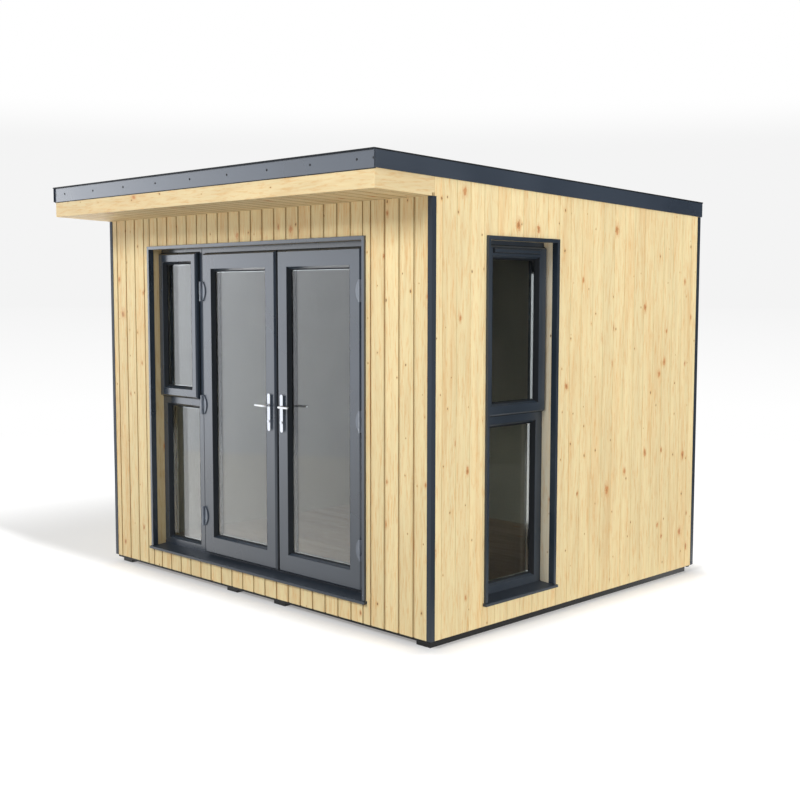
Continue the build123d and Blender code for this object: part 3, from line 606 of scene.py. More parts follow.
# %% Geometry Nodes: a row of boards
def board_row_tree():
    """One section set on each point of a row, stretched to the point's width and height."""
    tree, put, result = open_group(
        "Row of boards", "GeometryNodeTree",
        [("Geometry", "Geometry"), ("Section", "Object"), ("Section width", "Float", 0.1065),
         ("Turn", "Vector"), ("Seed", "Int", 0), ("Groove shade", "Float", 0.6),
         ("Cut an opening", "Bool", False),
         ("Opening low", "Vector"), ("Opening high", "Vector"), ("Finish", "Material")],
        [("Geometry", "Geometry")])

    def told(name):
        """A number that a point or an instance carries."""
        return tap(tree, "GeometryNodeInputNamedAttribute", {"Name": name}, data_type="FLOAT")

    def carry(geometry, name, value, domain):
        """The geometry with a number stored on it."""
        return tap(tree, "GeometryNodeStoreNamedAttribute",
                   {"Geometry": geometry, "Name": name, "Value": value},
                   data_type="FLOAT", domain=domain)

    # The section raised into a board one metre tall, its faces in a groove marked for painted shade
    section = tap(tree, "GeometryNodeObjectInfo", {"Object": put["Section"]}, "Geometry")
    raised = tap(tree, "GeometryNodeExtrudeMesh",
                 {"Mesh": section, "Offset": (0.0, 0.0, 1.0), "Offset Scale": 1.0,
                  "Individual": False}, "Mesh", mode="FACES")
    whole = place(tree, "GeometryNodeJoinGeometry")
    for part in (raised, tap(tree, "GeometryNodeFlipFaces", {"Mesh": section})):
        fill(whole, {0: part})
    board = tap(tree, "GeometryNodeMergeByDistance",
                {"Geometry": whole.outputs[0], "Distance": 0.00001})
    facing = split(tap(tree, "GeometryNodeInputNormal"))[1]
    aside = worked("LESS_THAN", facing, 0.85)
    board = carry(board, "groove", aside * put["Groove shade"], "FACE")

    # The row, with a random number for each board
    size = tap(tree, "CombineXYZ",
               {0: told("width") / put["Section width"], 1: 1.0, 2: told("height")})
    turn = tap(tree, "FunctionNodeEulerToRotation", {0: put["Turn"]})
    row = tap(tree, "GeometryNodeInstanceOnPoints",
              {"Points": put["Geometry"], "Instance": board, "Rotation": turn, "Scale": size})
    number = tap(tree, "FunctionNodeRandomValue", {"Seed": put["Seed"]}, 1, data_type="FLOAT")
    named = carry(row, "number", number, "INSTANCE")
    real = tap(tree, "GeometryNodeRealizeInstances", {"Geometry": named})
    real = carry(real, "board", told("number"), "FACE")
    real = tap(tree, "GeometryNodeRemoveAttribute", {"Geometry": real, "Name": "number"})

    # The opening, cut as one block
    corners = put["Opening high"], put["Opening low"]
    span = worked("SUBTRACT", *corners, kind="VectorMath")
    middle = worked("ADD", *corners, kind="VectorMath")
    middle = tap(tree, "VectorMath", {0: middle, "Scale": 0.5}, operation="SCALE")
    block = tap(tree, "GeometryNodeMeshCube", {"Size": span}, "Mesh")
    block = tap(tree, "GeometryNodeTransform", {"Geometry": block, "Translation": middle})
    cut = tap(tree, "GeometryNodeMeshBoolean", {"Mesh 1": real, "Mesh 2": block}, "Mesh",
              operation="DIFFERENCE")
    chosen = tap(tree, "GeometryNodeSwitch",
                 {"Switch": put["Cut an opening"], "False": real, "True": cut},
                 input_type="GEOMETRY")
    fill(result, {0: tap(tree, "GeometryNodeSetMaterial",
                         {"Geometry": chosen, "Material": put["Finish"]})})
    return tree


def outline_object(name, corners):
    """A flat outline as a one-face mesh, for a tree to extrude; it is removed after use."""
    work = bmesh.new()
    work.faces.new([work.verts.new((x, y, 0.0)) for x, y in corners])
    bmesh.ops.recalc_face_normals(work, faces=work.faces)
    if work.faces[:][0].normal.z < 0:
        bmesh.ops.reverse_faces(work, faces=work.faces)
    return bpy.data.objects.new(name, mesh_from(name, work))


def grow(tree, name, base, values):
    """The plain mesh that a tree makes on a base mesh, with its inputs set by identifier."""
    carrier = new_object(name, base)
    modifier = carrier.modifiers.new("grow", "NODES")
    modifier.node_group = tree
    for socket in tree.interface.items_tree:
        if socket.item_type == "SOCKET" and socket.in_out == "INPUT" and socket.name in values:
            modifier[socket.identifier] = values[socket.name]
    carrier.update_tag()
    seen = carrier.evaluated_get(bpy.context.evaluated_depsgraph_get())
    mesh = bpy.data.meshes.new_from_object(seen)
    carrier.modifiers.remove(modifier)
    bpy.data.objects.remove(carrier)
    return mesh


def point_row(name, points, **numbers):
    """A mesh of loose points, with a list of numbers for each named attribute."""
    mesh = bpy.data.meshes.new(name)
    mesh.from_pydata(points, [], [])
    for label, values in numbers.items():
        mesh.attributes.new(label, "FLOAT", "POINT").data.foreach_set("value", values)
    return mesh


BOARD_ROW = board_row_tree()
print("board tree:", len(BOARD_ROW.nodes), "nodes")

# %% [markdown]
# A cladding board is 18 mm thick. On the front its face edges are rounded and slope back to a
# narrow shoulder, so that two neighbours leave a groove 13 mm wide and 6 mm deep between them; on
# the other walls the boards close up to a joint that hardly shows. The joints are read from the
# grooves of each wall's CAD skin, so boards and skin agree exactly.

# %% Cladding boards
GROOVE_DEPTH, GROOVE_OPENING, GROOVE_FLOOR, PITCH = 0.006, 0.013, 0.008, 0.1065
BOARD_THICKNESS, OPEN_SLIT = 0.018, 0.0016
EDGE_INSET = 0.015  # how far a lining laps over the boards' cut edge
CUT_PAST = 0.5  # how far the cut runs out on both sides of a wall
TOP_BAND, CLOSE, CLOSER = 0.12, 0.001, 0.0002  # for finding corners of a skin


def board_section(width, thickness, opening=GROOVE_OPENING, floor=GROOVE_FLOOR,
                  depth=GROOVE_DEPTH, round_by=0.0015, slit=0.0):
    """Corners of a board's section: X across the board, Y out of the wall with its face at 0."""
    half = width / 2
    shoulder, lip = half - slit / 2, half - opening / 2
    side = [(half, -thickness), (half, -(depth + thickness) / 2), (shoulder, -depth - slit),
            (shoulder, -depth), (half - floor / 2, -depth),
            (lip + round_by * 0.4, -round_by), (lip - round_by * 0.3, -round_by * 0.25),
            (lip - round_by * 1.2, 0.0)]
    return side + [(-x, y) for x, y in reversed(side)]


def corners_of(node):
    """Every corner of a node's mesh."""
    return [v.co for v in frame["nodes"][node].data.vertices]


def groove_places(node, axis, face):
    """Middles of the grooves along one axis, read from the corners on the groove floors."""
    other = 1 - axis
    edges = sorted({round(spot[axis], 4) for spot in corners_of(node)
                    if abs(abs(spot[other] - face) - GROOVE_DEPTH) < CLOSER})
    return [(a + b) / 2 for a, b in zip(edges, edges[1:]) if b - a < GROOVE_FLOOR + CLOSE]


def middles(stops):
    """The middle of each board between stops."""
    return [(start + end) / 2 for start, end in zip(stops, stops[1:])]


def add_boards(name, section, width, points, stops, heights, values, material,
               stands_for=()):
    """A row of boards between stops as one piece, each set on its point."""
    widths = [end - start for start, end in zip(stops, stops[1:])]
    values |= {"Section": section, "Section width": width, "Finish": MATERIALS[material]}
    base = point_row(name + "_points", points, width=widths, height=heights)
    mesh = grow(BOARD_ROW, name + "_row", base, values)
    add_piece(name, mesh, material, "building", stands_for)
    print(name, len(points), "boards")


open_joint = outline_object("board_section", board_section(PITCH, BOARD_THICKNESS, slit=OPEN_SLIT))
tight_joint = outline_object("tight_board_section", board_section(
    PITCH, BOARD_THICKNESS, opening=0.0042, floor=0.0012, depth=0.0022, round_by=0.0008))
openings = {"front_cladding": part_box("front_opening_lining"),
            "right_cladding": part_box("side_window_lining")}
walls = {  # the axis it runs along, the corner of its box that its face is at, and its turn
    "front_cladding": (0, 0, -math.pi),
    "back_cladding": (0, 1, 0.0),
    "left_cladding": (1, 0, math.pi / 2),
    "right_cladding": (1, 1, -math.pi / 2),
}
for seed, (node, (axis, side, turn)) in enumerate(walls.items()):
    low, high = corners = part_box(node)
    face = corners[side][1 - axis]
    stops = [low[axis], *groove_places(node, axis, face), high[axis]]
    tops = [spot for spot in corners_of(node) if spot.z > high.z - TOP_BAND]
    near_top, far_top = (max(spot.z for spot in tops if abs(spot[axis] - end[axis]) < CLOSE)
                         for end in (low, high))
    shares = [(end - low[axis]) / (high[axis] - low[axis]) for end in stops[1:]]
    heights = [near_top + (far_top - near_top) * share - low.z for share in shares]
    points = [(face, middle, low.z) if axis else (middle, face, low.z)
              for middle in middles(stops)]
    fronted = node == "front_cladding"
    # Painted shade in the grooves: strong on the front under the canopy, barely any on the other walls
    values = {"Turn": (0.0, 0.0, turn), "Seed": seed, "Groove shade": 0.66 if fronted else 0.1}
    if node in openings:
        box_low, box_high = openings[node]
        opening_low = [box_low.x - CUT_PAST, box_low.y - CUT_PAST, box_low.z]
        opening_high = [box_high.x + CUT_PAST, box_high.y + CUT_PAST, box_high.z - EDGE_INSET]
        opening_low[axis] = box_low[axis] + EDGE_INSET
        opening_high[axis] = box_high[axis] - EDGE_INSET
        values |= {"Cut an opening": True, "Opening low": opening_low,
                   "Opening high": opening_high}
    add_boards(node + "_boards", open_joint if fronted else tight_joint, PITCH, points, stops,
               heights, values, "cladding", (node,))
for section in (open_joint, tight_joint):
    bpy.data.objects.remove(section)

# %% [markdown]
# The ceiling of the canopy is made of the same grooved boards, running from front to back and
# falling with the roof. The tree is used again: the row is turned so that the boards face down
# and follow the slope, which is measured from the underside of the CAD panel.

# %% Soffit boards
low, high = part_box("canopy_soffit")
under = [min(spot.z for spot in corners_of("canopy_soffit") if abs(spot.y - y) < CLOSE)
         for y in (low.y, high.y)]
slope = math.atan((under[0] - under[1]) / (high.y - low.y))
count = int((high.x - low.x - GROOVE_OPENING) / PITCH)
stops = [low.x + PITCH * i for i in range(count + 1)] + [high.x]
section = outline_object("soffit_section", board_section(PITCH, 0.0145, slit=OPEN_SLIT))
points = [(middle, low.y, under[0]) for middle in middles(stops)]
# The soffit's grooves take painted shade as well
add_boards("soffit_boards", section, PITCH, points, stops,
           [(high.y - low.y) / math.cos(slope)] * len(points),
           {"Turn": (-math.pi / 2 - slope, 0.0, 0.0), "Seed": 7, "Groove shade": 0.6},
           "soffit", ("canopy_soffit",))
bpy.data.objects.remove(section)
print("soffit slope:", round(math.degrees(slope), 2), "degrees")

# %% [markdown]
# The front and back boards stand on a tarred rail that is nailed across the ends of the bearers.
# It lies just behind the boards' faces and hangs a little below them, as a thin black line that also
# stands in for the shadow under the boards: partly painted shade.

# %% Base rails
RAIL_BACK, RAIL_DROP, RAIL_PAST, FIT = 0.007, 0.015, 0.02, 0.0005
first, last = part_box("bearer_left"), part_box("bearer_right")
skin_low, skin_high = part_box("front_cladding")[0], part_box("back_cladding")[1]
rails = [((first[0].x - RAIL_PAST, start, skin_low.z - RAIL_DROP),
          (last[1].x + RAIL_PAST, end, skin_low.z - FIT))
         for start, end in ((skin_low.y + RAIL_BACK, first[0].y - FIT),
                            (first[1].y + FIT, skin_high.y - RAIL_BACK))]
add_blocks("base_rails", rails, 0.0015, "joist")

# %% [markdown]
# The room has a laid floor of brown planks with a fine bevel between them. It is the same row of
# boards with a thinner section, turned to lie flat between the wall linings.

# %% Floor planks
PLANK_WIDTH, PLANK_THICKNESS = 0.14, 0.006
near_wall, far_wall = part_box("front_wall_left")[1].y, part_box("back_wall")[0].y
left_side, right_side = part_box("left_wall")[1].x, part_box("right_wall_back")[0].x
count = int((far_wall - near_wall) / PLANK_WIDTH) + 1
stops = [min(near_wall + PLANK_WIDTH * i, far_wall) for i in range(count + 1)]
section = outline_object("plank_section", board_section(PLANK_WIDTH, PLANK_THICKNESS, 0.003,
                                                        0.0006, 0.0015, 0.0005))
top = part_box("floor_panel")[1].z + PLANK_THICKNESS
points = [(left_side, middle, top) for middle in middles(stops)]
add_boards("floor_planks", section, PLANK_WIDTH, points, stops,
           [right_side - left_side] * len(points),
           {"Turn": (math.pi / 2, 0.0, math.pi / 2), "Seed": 9}, "planks")
bpy.data.objects.remove(section)

# %% [markdown]
# A sealed unit is two sheets of glass held apart by a metal bar round the edge, with a black
# gasket on the slope of the glazing bead; on the uprights it covers the whole slope, as painted
# shade for the bead's shaded sides. Two real sheets give the double reflection that a single block
# would not. The units are read from the glass nodes, whatever their number.

# %% Glass units
def separate_boxes(node):
    """The box of each loose block in a node, lowest corner first."""
    work = merged_copy(node)
    left, boxes = set(work.verts), []
    while left:
        queue = [left.pop()]
        block = list(queue)
        while queue:
            near = {vert for edge in queue.pop().link_edges for vert in edge.verts} & left
            left -= near
            queue.extend(near)
            block.extend(near)
        boxes.append(tuple(Vector([end(v.co[i] for v in block) for i in range(3)])
                           for end in (min, max)))
    work.free()
    return sorted(boxes, key=lambda box: box[0].z)


def add_ring(work, low, high, depth_axis, section):
    """A section carried round a box's outline: each corner is (inset from the edge, depth).

    A third number is the inset along the top and bottom, where that isn't the same.
    """
    flat = [i for i in range(3) if i != depth_axis]
    loops = []
    for sides in ((0, 0), (1, 0), (1, 1), (0, 1)):
        loop = []
        for inset, depth, *level_inset in section:
            spot = [depth] * 3
            for i, side, by in zip(flat, sides, (inset, *(level_inset or [inset]))):
                spot[i] = high[i] - by if side else low[i] + by
            loop.append(work.verts.new(spot))
        loops.append(loop)
    join_loops(work, loops)


def strip(inner, outer, start, end):
    """A plain rectangular section between two insets and two depths."""
    return [(inner, start), (outer, start), (outer, end), (inner, end)]


GLASS = {  # the axis through the glass and the way out along it
    "side_light": (1, -1),
    "side_window": (0, 1),
    "left_door": (1, -1),
    "right_door": (1, -1),
}
SHEET, EDGE_ROUND, GASKET = 0.004, 0.0005, 0.0022
BEHIND = SHEET + 0.0001  # the bar lies just behind each sheet
SPACER_FROM, SPACER_TO = 0.003, 0.015  # insets of the bar from the glass's edge
# Painted shade: on the uprights the black gasket lies over the bead's whole slope, from the glass
# out to just short of the leaf's face, standing in for the bead's shaded sides; along the top and
# bottom it dives under the slope near the glass
BEAD_SLOPE_SHADE_GASKET = [(0.0128, 0.0001), (0.0103, 0.0001), (-0.0058, 0.0222, -0.0165),
             (-0.0048, 0.0232, -0.0155), (0.0128, 0.0014)]
for label, (axis, outward) in GLASS.items():
    node = label + "_glass"
    panes, bars, gaskets = bmesh.new(), bmesh.new(), bmesh.new()
    units = separate_boxes(node)
    for low, high in units:
        outer_low, inner_high = low.copy(), high.copy()
        outer_low[axis] = high[axis] - SHEET
        inner_high[axis] = low[axis] + SHEET
        add_block(panes, outer_low, high, EDGE_ROUND)
        add_block(panes, low, inner_high, EDGE_ROUND)
        add_ring(bars, low, high, axis, strip(SPACER_FROM, SPACER_TO, low[axis] + BEHIND,
                                              high[axis] - BEHIND))
        outer, inner = (high[axis], low[axis]) if outward > 0 else (low[axis], high[axis])
        add_ring(gaskets, low, high, axis, strip(0.010, 0.013, inner - outward * GASKET, inner))
        add_ring(gaskets, low, high, axis, [(inset, outer + outward * depth, *rest)
                                            for inset, depth, *rest in BEAD_SLOPE_SHADE_GASKET])
    body = BODY_OF[node]
    add_piece(label + "_glass_sheets", panes, "glass", body, (node,))
    add_piece(label + "_spacer_bars", bars, "spacer", body)
    add_piece(label + "_gaskets", gaskets, "rubber", body)
    print(label, "glass units:", len(units))

# %% [markdown]
# Doors and sashes close on a black rubber seal that lies on the frame behind their lips. It reaches
# 6 mm out past each lip and shows as a thin dark line round each of them: a real seal, and painted
# shade for the shadow gap round the lips. It stays on the frame when they open. Where the two doors
# meet, a narrow rubber fin on the left one nearly fills the gap. The vent bar has a seal as well.

# %% Weather seals
SEALS = {  # the first and last piece that close on it, the axis through them and the way in
    "door": ("left_door_leaf", "right_door_leaf", 1, 1),
    "side_light": ("side_light_sash", "side_light_sash", 1, 1),
    "side_window": ("side_window_sash", "side_window_sash", 0, -1),
}
LIP_BACK, SEAL_BACK = 0.0252, 0.0299
for label, (first, last, axis, inward) in SEALS.items():
    low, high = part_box(first)[0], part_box(last)[1]
    face = (low if inward > 0 else high)[axis]
    work = bmesh.new()
    # The ring reaches 6 mm out past the lip: painted shade for the gap round it
    add_ring(work, low, high, axis, strip(-0.006, 0.009, face + inward * LIP_BACK,
                                          face + inward * SEAL_BACK))
    add_piece(label + "_weather_seal", work, "rubber")

low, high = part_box("left_door_leaf")
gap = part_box("right_door_leaf")[0].x - high.x
fin = ((high.x + 0.0001, low.y + 0.006, low.z + 0.004),
       (high.x + 0.65 * gap, low.y + 0.022, high.z - 0.004))
add_blocks("door_meeting_seal", [fin], 0.0006, "rubber", "left_door")
print("meeting gap, mm:", round(gap * 1000, 2))

low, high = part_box("side_window_vent")
work = bmesh.new()
add_ring(work, low, high, 0, strip(-0.0035, 0.003, low.x, low.x + 0.0025))
add_piece("side_window_vent_seal", work, "rubber")

# %% [markdown]
# The folded edge of the roof is held by screws with a washer under a low head, evenly spaced.
# A tree sets one head on a line of points, so their number and spacing are two inputs.

# %% Geometry Nodes: a row of screws
def screw_row_tree():
    """A washer and a six-sided head on each point of a line."""
    tree, put, result = open_group(
        "Row of screws", "GeometryNodeTree",
        [("Geometry", "Geometry"), ("Start", "Vector"), ("End", "Vector"),
         ("Count", "Int", 9), ("Head radius", "Float", 0.004),
         ("Washer radius", "Float", 0.007), ("Turn", "Vector"), ("Finish", "Material")],
        [("Geometry", "Geometry")])
    line = tap(tree, "GeometryNodeMeshLine",
               {"Count": put["Count"], "Start Location": put["Start"], "Offset": put["End"]},
               mode="END_POINTS")
    both = place(tree, "GeometryNodeJoinGeometry")
    for radius, sides, taper, depth in ((put["Washer radius"], 16, 0.8, 0.0012),
                                        (put["Head radius"], 6, 0.85, 0.0036)):
        fill(both, {0: tap(tree, "GeometryNodeMeshCone",
                           {"Vertices": sides, "Radius Top": radius * taper,
                            "Radius Bottom": radius, "Depth": depth})})
    turn = tap(tree, "FunctionNodeEulerToRotation", {0: put["Turn"]})
    row = tap(tree, "GeometryNodeInstanceOnPoints",
              {"Points": line, "Instance": both.outputs[0], "Rotation": turn})
    real = tap(tree, "GeometryNodeRealizeInstances", {"Geometry": row})
    fill(result, {0: tap(tree, "GeometryNodeSetMaterial",
                         {"Geometry": real, "Material": put["Finish"]})})
    return tree


# %% Screws in the roof edge
SCREW_ROW = screw_row_tree()
SCREW_DROP = 0.045  # below the top of the metal
front_low, front_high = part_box("front_flashing")
back_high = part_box("back_flashing")[1]
for label, y, top, turn in (("front", front_low.y, front_high.z, math.pi / 2),
                            ("back", back_high.y, back_high.z, -math.pi / 2)):
    for row, margin, count in (("", 0.128, 9), ("corner_", 0.014, 2)):
        values = {"Start": (front_low.x + margin, y, top - SCREW_DROP),
                  "End": (front_high.x - margin, y, top - SCREW_DROP), "Count": count,
                  "Turn": (turn, 0.0, 0.0), "Finish": MATERIALS["screw"]}
        mesh = grow(SCREW_ROW, label + "_screws", point_row(label + "_start", [(0, 0, 0)]), values)
        add_piece(label + "_flashing_" + row + "screws", mesh, "screw", "building")

# %% [markdown]
# The rubber roof skin ends in a black lip that caps the folded metal on all four sides, and the
# side pieces of metal stand a little ahead of the front one, as the fold of a corner does. The lip
# is one section carried round the four corners, so that it mitres at each. A strip of black foam
# closes the gap between the folded metal and the fascia, and shows as a thin line under the metal
# that is partly painted shade, for the shadow under the metal's edge.

# %% Rubber lip, corner folds and foam strip of the roof edge
side_low, side_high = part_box("side_flashings")
AHEAD, METAL = 0.0085, 0.003
edge_low = Vector((side_low.x, front_low.y - AHEAD))
edge_high = Vector((side_high.x, back_high.y))
LIP = [(0.0, -0.0055), (0.0015, -0.0055), (0.0022, -0.0045), (0.0022, 0.0010), (0.0012, 0.0020),
       (-0.0115, 0.0020), (-0.0125, 0.0010), (-0.0125, 0.0001), (0.0, 0.0001)]
work = bmesh.new()
loops = []
for way_x, way_y in ((-1, -1), (1, -1), (1, 1), (-1, 1)):
    corner_x = edge_high.x if way_x > 0 else edge_low.x
    corner_y = edge_high.y if way_y > 0 else edge_low.y
    top = front_high.z if way_y < 0 else back_high.z
    loops.append([work.verts.new((corner_x + way_x * out, corner_y + way_y * out, top + rise))
                  for out, rise in LIP])
join_loops(work, loops)
add_piece("roof_edge_lip", work, "rubber", "building")

folds = [((x, edge_low.y, front_low.z), (x + METAL, front_low.y + 0.0005, front_high.z))
         for x in (side_low.x, side_high.x - METAL)]
add_blocks("flashing_corner_folds", folds, 0.0008, "coat")
# Partly painted shade: the black foam's line stands for the shadow under the metal's edge
foam = ((side_low.x, front_low.y + 0.0006, front_low.z - 0.004),
        (side_high.x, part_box("canopy_fascia")[0].y - 0.0002, front_low.z - 0.0001))
add_blocks("flashing_foam_strip", [foam], 0.0003, "rubber")

# %% [markdown]
# A door lever is one bent bar: straight out of its rose, round a tight bend and along the door,
# flattening a little towards a rounded end. It is swept as an oval section along that path, which
# a block with rounded edges could not follow.

# %% Levers and plates
BEND, STAND = 0.016, 0.042  # radius of the bend, and how far the bar stands off the door
BEND_STEPS, BAR_STEPS, ROUNDED_FROM = 8, 12, 0.88


def swept(work, path, sizes, ring=20):
    """A closed tube of oval rings along a path; each size is (half width, half height)."""
    rise = Vector((0.0, 0.0, 1.0))
    loops = []
    for i, (spot, (half_wide, half_high)) in enumerate(zip(path, sizes)):
        ahead = (path[min(i + 1, len(path) - 1)] - path[max(i - 1, 0)]).normalized()
        wide = ahead.cross(rise).normalized()
        angles = [2 * math.pi * k / ring for k in range(ring)]
        loops.append([work.verts.new(spot + wide * half_wide * math.cos(angle)
                                     + rise * half_high * math.sin(angle)) for angle in angles])
    join_loops(work, loops, around=False)


def lever_path(axis_x, face_y, out, way, length):
    """Points and sizes of a lever from its rose on the door face to its rounded end."""
    path = [Vector((axis_x, face_y + out * 0.009, 0.0)),
            Vector((axis_x, face_y + out * (STAND - BEND), 0.0))]
    sizes = [(0.0075, 0.0075), (0.0066, 0.0066)]
    for i in range(1, BEND_STEPS + 1):
        angle = math.pi / 2 * i / BEND_STEPS
        path.append(Vector((axis_x + way * BEND * (1 - math.cos(angle)),
                            face_y + out * (STAND - BEND + BEND * math.sin(angle)), 0.0)))
        sizes.append((0.0064 - 0.0012 * i / BEND_STEPS, 0.0066 + 0.0008 * i / BEND_STEPS))
    end = axis_x + way * length
    start = path[-1].x
    for i in range(1, BAR_STEPS + 1):
        share = i / BAR_STEPS
        path.append(Vector((start + (end - start) * share, face_y + out * STAND, 0.0)))
        close = max(0.0, (share - ROUNDED_FROM) / 0.12)
        shrink = math.sqrt(max(0.03, 1 - close * close))
        sizes.append((0.0052 * shrink, (0.0074 - 0.0008 * share) * shrink))
    return path, sizes


for label, way in (("left_door", -1), ("right_door", 1)):
    low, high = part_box(label + "_lever")
    leaf_low, leaf_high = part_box(label + "_leaf")
    joint = next(j for j in frame["joints"] if j["child"] == label.replace("_door", "_lever"))
    axis_x, height = joint["pos_m"][0], joint["pos_m"][2]
    reach = (axis_x - low.x) if way < 0 else (high.x - axis_x)
    work = bmesh.new()
    for face_y, out in ((leaf_low.y, -1), (leaf_high.y, 1)):
        path, sizes = lever_path(axis_x, face_y, out, way, reach)
        swept(work, [point + Vector((0, 0, height)) for point in path], sizes)
    spindle = [Vector((axis_x, y, height)) for y in (leaf_low.y - 0.012, leaf_high.y + 0.012)]
    swept(work, spindle, [(0.0045, 0.0045)] * 2, 12)
    piece = add_piece(label + "_lever_bars", work, "chrome", joint["child"],
                      (label + "_lever",))
    piece.data.polygons.foreach_set("use_smooth", [True] * len(piece.data.polygons))
    softened(label + "_handle_plates", "chrome", 0.0022, 3)

# %% [markdown]
# The studio is a pale floor under a pale surround. A tall soft screen stands to the left of the
# front, brightest at its far end, and is what the glass and the coated frames mirror. Dark cards
# to the right, behind the camera and on the floor beside the long side are mirrored by the faces
# turned that way, so they stay dark, as they would beside any dark wall. To the eye the floor is
# nearly white, with a grey shadow at the foot of the walls that is widest on the left, partly cast
# and partly painted shade, and it fades evenly to the grey of the skyline.

# %% Stage: floor, soft screen and dark cards
def stage_sheet(name, corners):
    """A flat sheet of the studio: itself, its tree, its shader and its Object coordinates."""
    mesh = bpy.data.meshes.new(name)
    mesh.from_pydata(corners, [], [(0, 1, 2, 3)])
    sheet = new_object(name, mesh)
    sheet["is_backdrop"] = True
    paint, *rest = new_material(name)
    mesh.materials.append(paint)
    return sheet, *rest


def upright_corners(start, end, low, high):
    """Corners of an upright sheet between two places on the floor."""
    return [(*start, low), (*end, low), (*end, high), (*start, high)]


def glowing(strength, tint=(1.0, 1.0, 1.0, 1.0)):
    """A surface that shines by itself."""
    return tap(strength.tree, "Emission", {"Strength": strength, "Color": tint})


screen_start, screen_end = Vector((-7.6, -3.2)), Vector((-1.6, -6.6))
SCREEN_TOP, FOOT = 4.6, 0.82  # metres, and how bright the screen's foot is beside the rest


def screen_level(x):
    """How bright the soft screen is along its length: brightest at its far left end."""
    share = ((screen_end.x - x) / (screen_end - screen_start).x).clamped()
    return share ** 3.0 * 2.95 + 1.15


REACH = 180.0
floor, tree, shader, spot = stage_sheet(
    "studio_floor", [(x * REACH, y * REACH, 0) for x, y in ((-1, -1), (1, -1), (1, 1), (-1, 1))])
fill(shader, {"Base Color": (0.74, 0.74, 0.74, 1.0), "Roughness": 0.9, "Specular IOR Level": 0.1})
far = worked("LENGTH", spot, kind="VectorMath", output="Value")
ray = taps(tree, "LightPath")
# How far a floor point is from the walls: the lift that makes the floor white to the eye fades
# there, which keeps the shadow at the foot and adds painted shade to it. It fades slowly on the
# left, away from the lamp, so that a painted shadow reaches far out on that side
LEFT_EASE, OTHER_EASE, LEFT_START = 0.4, 3.2, 1.0
low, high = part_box("floor_panel")
x, y, _ = split(spot)
clearance = (low.x - LEFT_START - x).most(0.0) * LEFT_EASE
for value, edge in ((x, high.x), (y, high.y), (y * -1.0, -low.y)):
    clearance = clearance + (value - edge).most(0.0) * OTHER_EASE
lift = glowing(ray["Is Camera Ray"] * clearance.ramp(0.0, 1.0, 0.26, 0.74))
near = tap(tree, "AddShader", {0: shader.outputs[0], 1: lift})
# Far off, the floor fades evenly to the grey of the surround: white 13 m away, grey at the skyline
skyline = glowing((1.0 / (far + 7.7)).ramp(0.004, 0.048, 0.91, 1.0, False))
seen = blended(far.ramp(4.0, 9.0), near, skyline)
# Mirrored, each floor point is as bright as the screen behind it, seen from where the front wall
# mirrors the camera, so that floor and screen are one in the glass
mirrored_eye = Vector((eye.x, 2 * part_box("front_cladding")[0].y - eye.y))
facing = Vector((screen_start.y - screen_end.y, screen_end.x - screen_start.x)).normalized()
gap = mirrored_eye.dot(facing) - screen_start.dot(facing)
toward = x * -facing.x + y * -facing.y + mirrored_eye.dot(facing)
behind = (x - mirrored_eye.x) * (gap / toward.most(0.1)) + mirrored_eye.x
reflection = glowing(screen_level(behind) * FOOT)
mirrored = ray["Is Glossy Ray"].most(ray["Is Transmission Ray"])
show(blended(mirrored, seen, reflection))

screen, tree, shader, spot = stage_sheet(
    "soft_screen", upright_corners(screen_start, screen_end, 0.05, SCREEN_TOP))
screen.visible_camera = screen.visible_diffuse = False
tree.nodes.remove(shader)
x, _, z = split(spot)
strength = screen_level(x) * z.ramp(SCREEN_TOP, 3.4) * z.ramp(0.0, 2.2, FOOT, 1.0, False)
show(glowing(strength, (0.94, 0.97, 1.03, 1.0)))

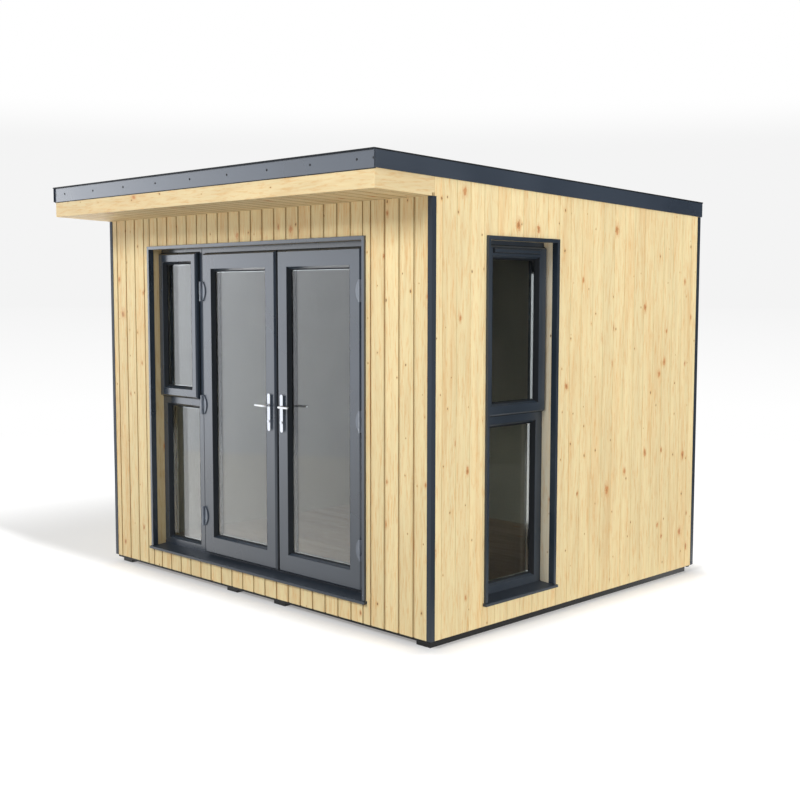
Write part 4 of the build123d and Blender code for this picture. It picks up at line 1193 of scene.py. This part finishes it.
cards = {"dark_card": upright_corners((10.5, -0.5), (0.0, 9.5), 0.0, 7.0),
         "dark_card_behind_camera": upright_corners((2.6, -9.8), (10.5, -0.5), 0.0, 5.0),
         "dark_floor_card": [(*spot, 0.004) for spot in ((1.9, -2.2), (10.5, -0.5), (0.0, 9.5),
                                                         (1.9, 3.0))]}
for name, corners in cards.items():
    card, tree, shader, _ = stage_sheet(name, corners)
    card.visible_camera = card.visible_diffuse = card.visible_shadow = False
    fill(shader, {"Base Color": (0.01, 0.01, 0.012, 1.0), "Roughness": 1.0})
print("stage:", floor.name, screen.name, *cards)

# %% [markdown]
# What the camera and mirrors see of the surround is set apart from how much it lights the pod: a
# pale band round the horizon that turns white higher up. Three broad lamps light the pod: one
# from the right on the long side, one from high in front, which isn't mirrored, and a weaker one
# from behind on the left.

# %% Surround and lamps
world = bpy.data.worlds.new("surround")
scene.world = world
world.use_nodes = True
tree = world.node_tree
tree.nodes.clear()
ray = taps(tree, "LightPath")
seen = ray["Is Camera Ray"].most(ray["Is Glossy Ray"].most(ray["Is Transmission Ray"]))
upwards = split(tap(tree, "TexCoord", output="Generated"))[2]
daylight, backdrop = (tap(tree, "Background", {"Color": tint, "Strength": strength})
                      for tint, strength in (((0.96, 0.98, 1.0, 1.0), 0.36),
                                             ((1.0, 1.0, 1.0, 1.0),
                                              upwards.ramp(0.12, 0.16, 0.905, 1.0))))
place(tree, "OutputWorld", {"Surface": blended(seen, daylight, backdrop)})


def lamp(name, spot, aim, size, power):
    """A square area lamp that faces a point."""
    light = bpy.data.lights.new(name, "AREA")
    light.shape, light.size, light.energy = "SQUARE", size, power
    made = new_object(name, light)
    turn = (Vector(aim) - Vector(spot)).to_track_quat("-Z", "Y")
    made.matrix_world = Matrix.Translation(Vector(spot)) @ turn.to_matrix().to_4x4()
    return made


lamp("side_lamp", (12.0, 1.6, 2.3), (1.4, 0.2, 1.1), 4.6, 640.0)
lamp("front_lamp", (2.0, -9.4, 6.1), (0.0, -1.0, 0.9), 3.0, 585.0).visible_glossy = False
lamp("back_lamp", (-7.5, 9.0, 4.5), (-0.6, 0.6, 1.1), 4.0, 260.0)

# %% Sizes
visual_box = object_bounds()
sizes = {"cad": [[float(v) for v in corner] for corner in cad_box],
         "visual": [[float(v) for v in corner] for corner in visual_box]}
print("visual box, m:", [[round(v, 4) for v in corner] for corner in visual_box])
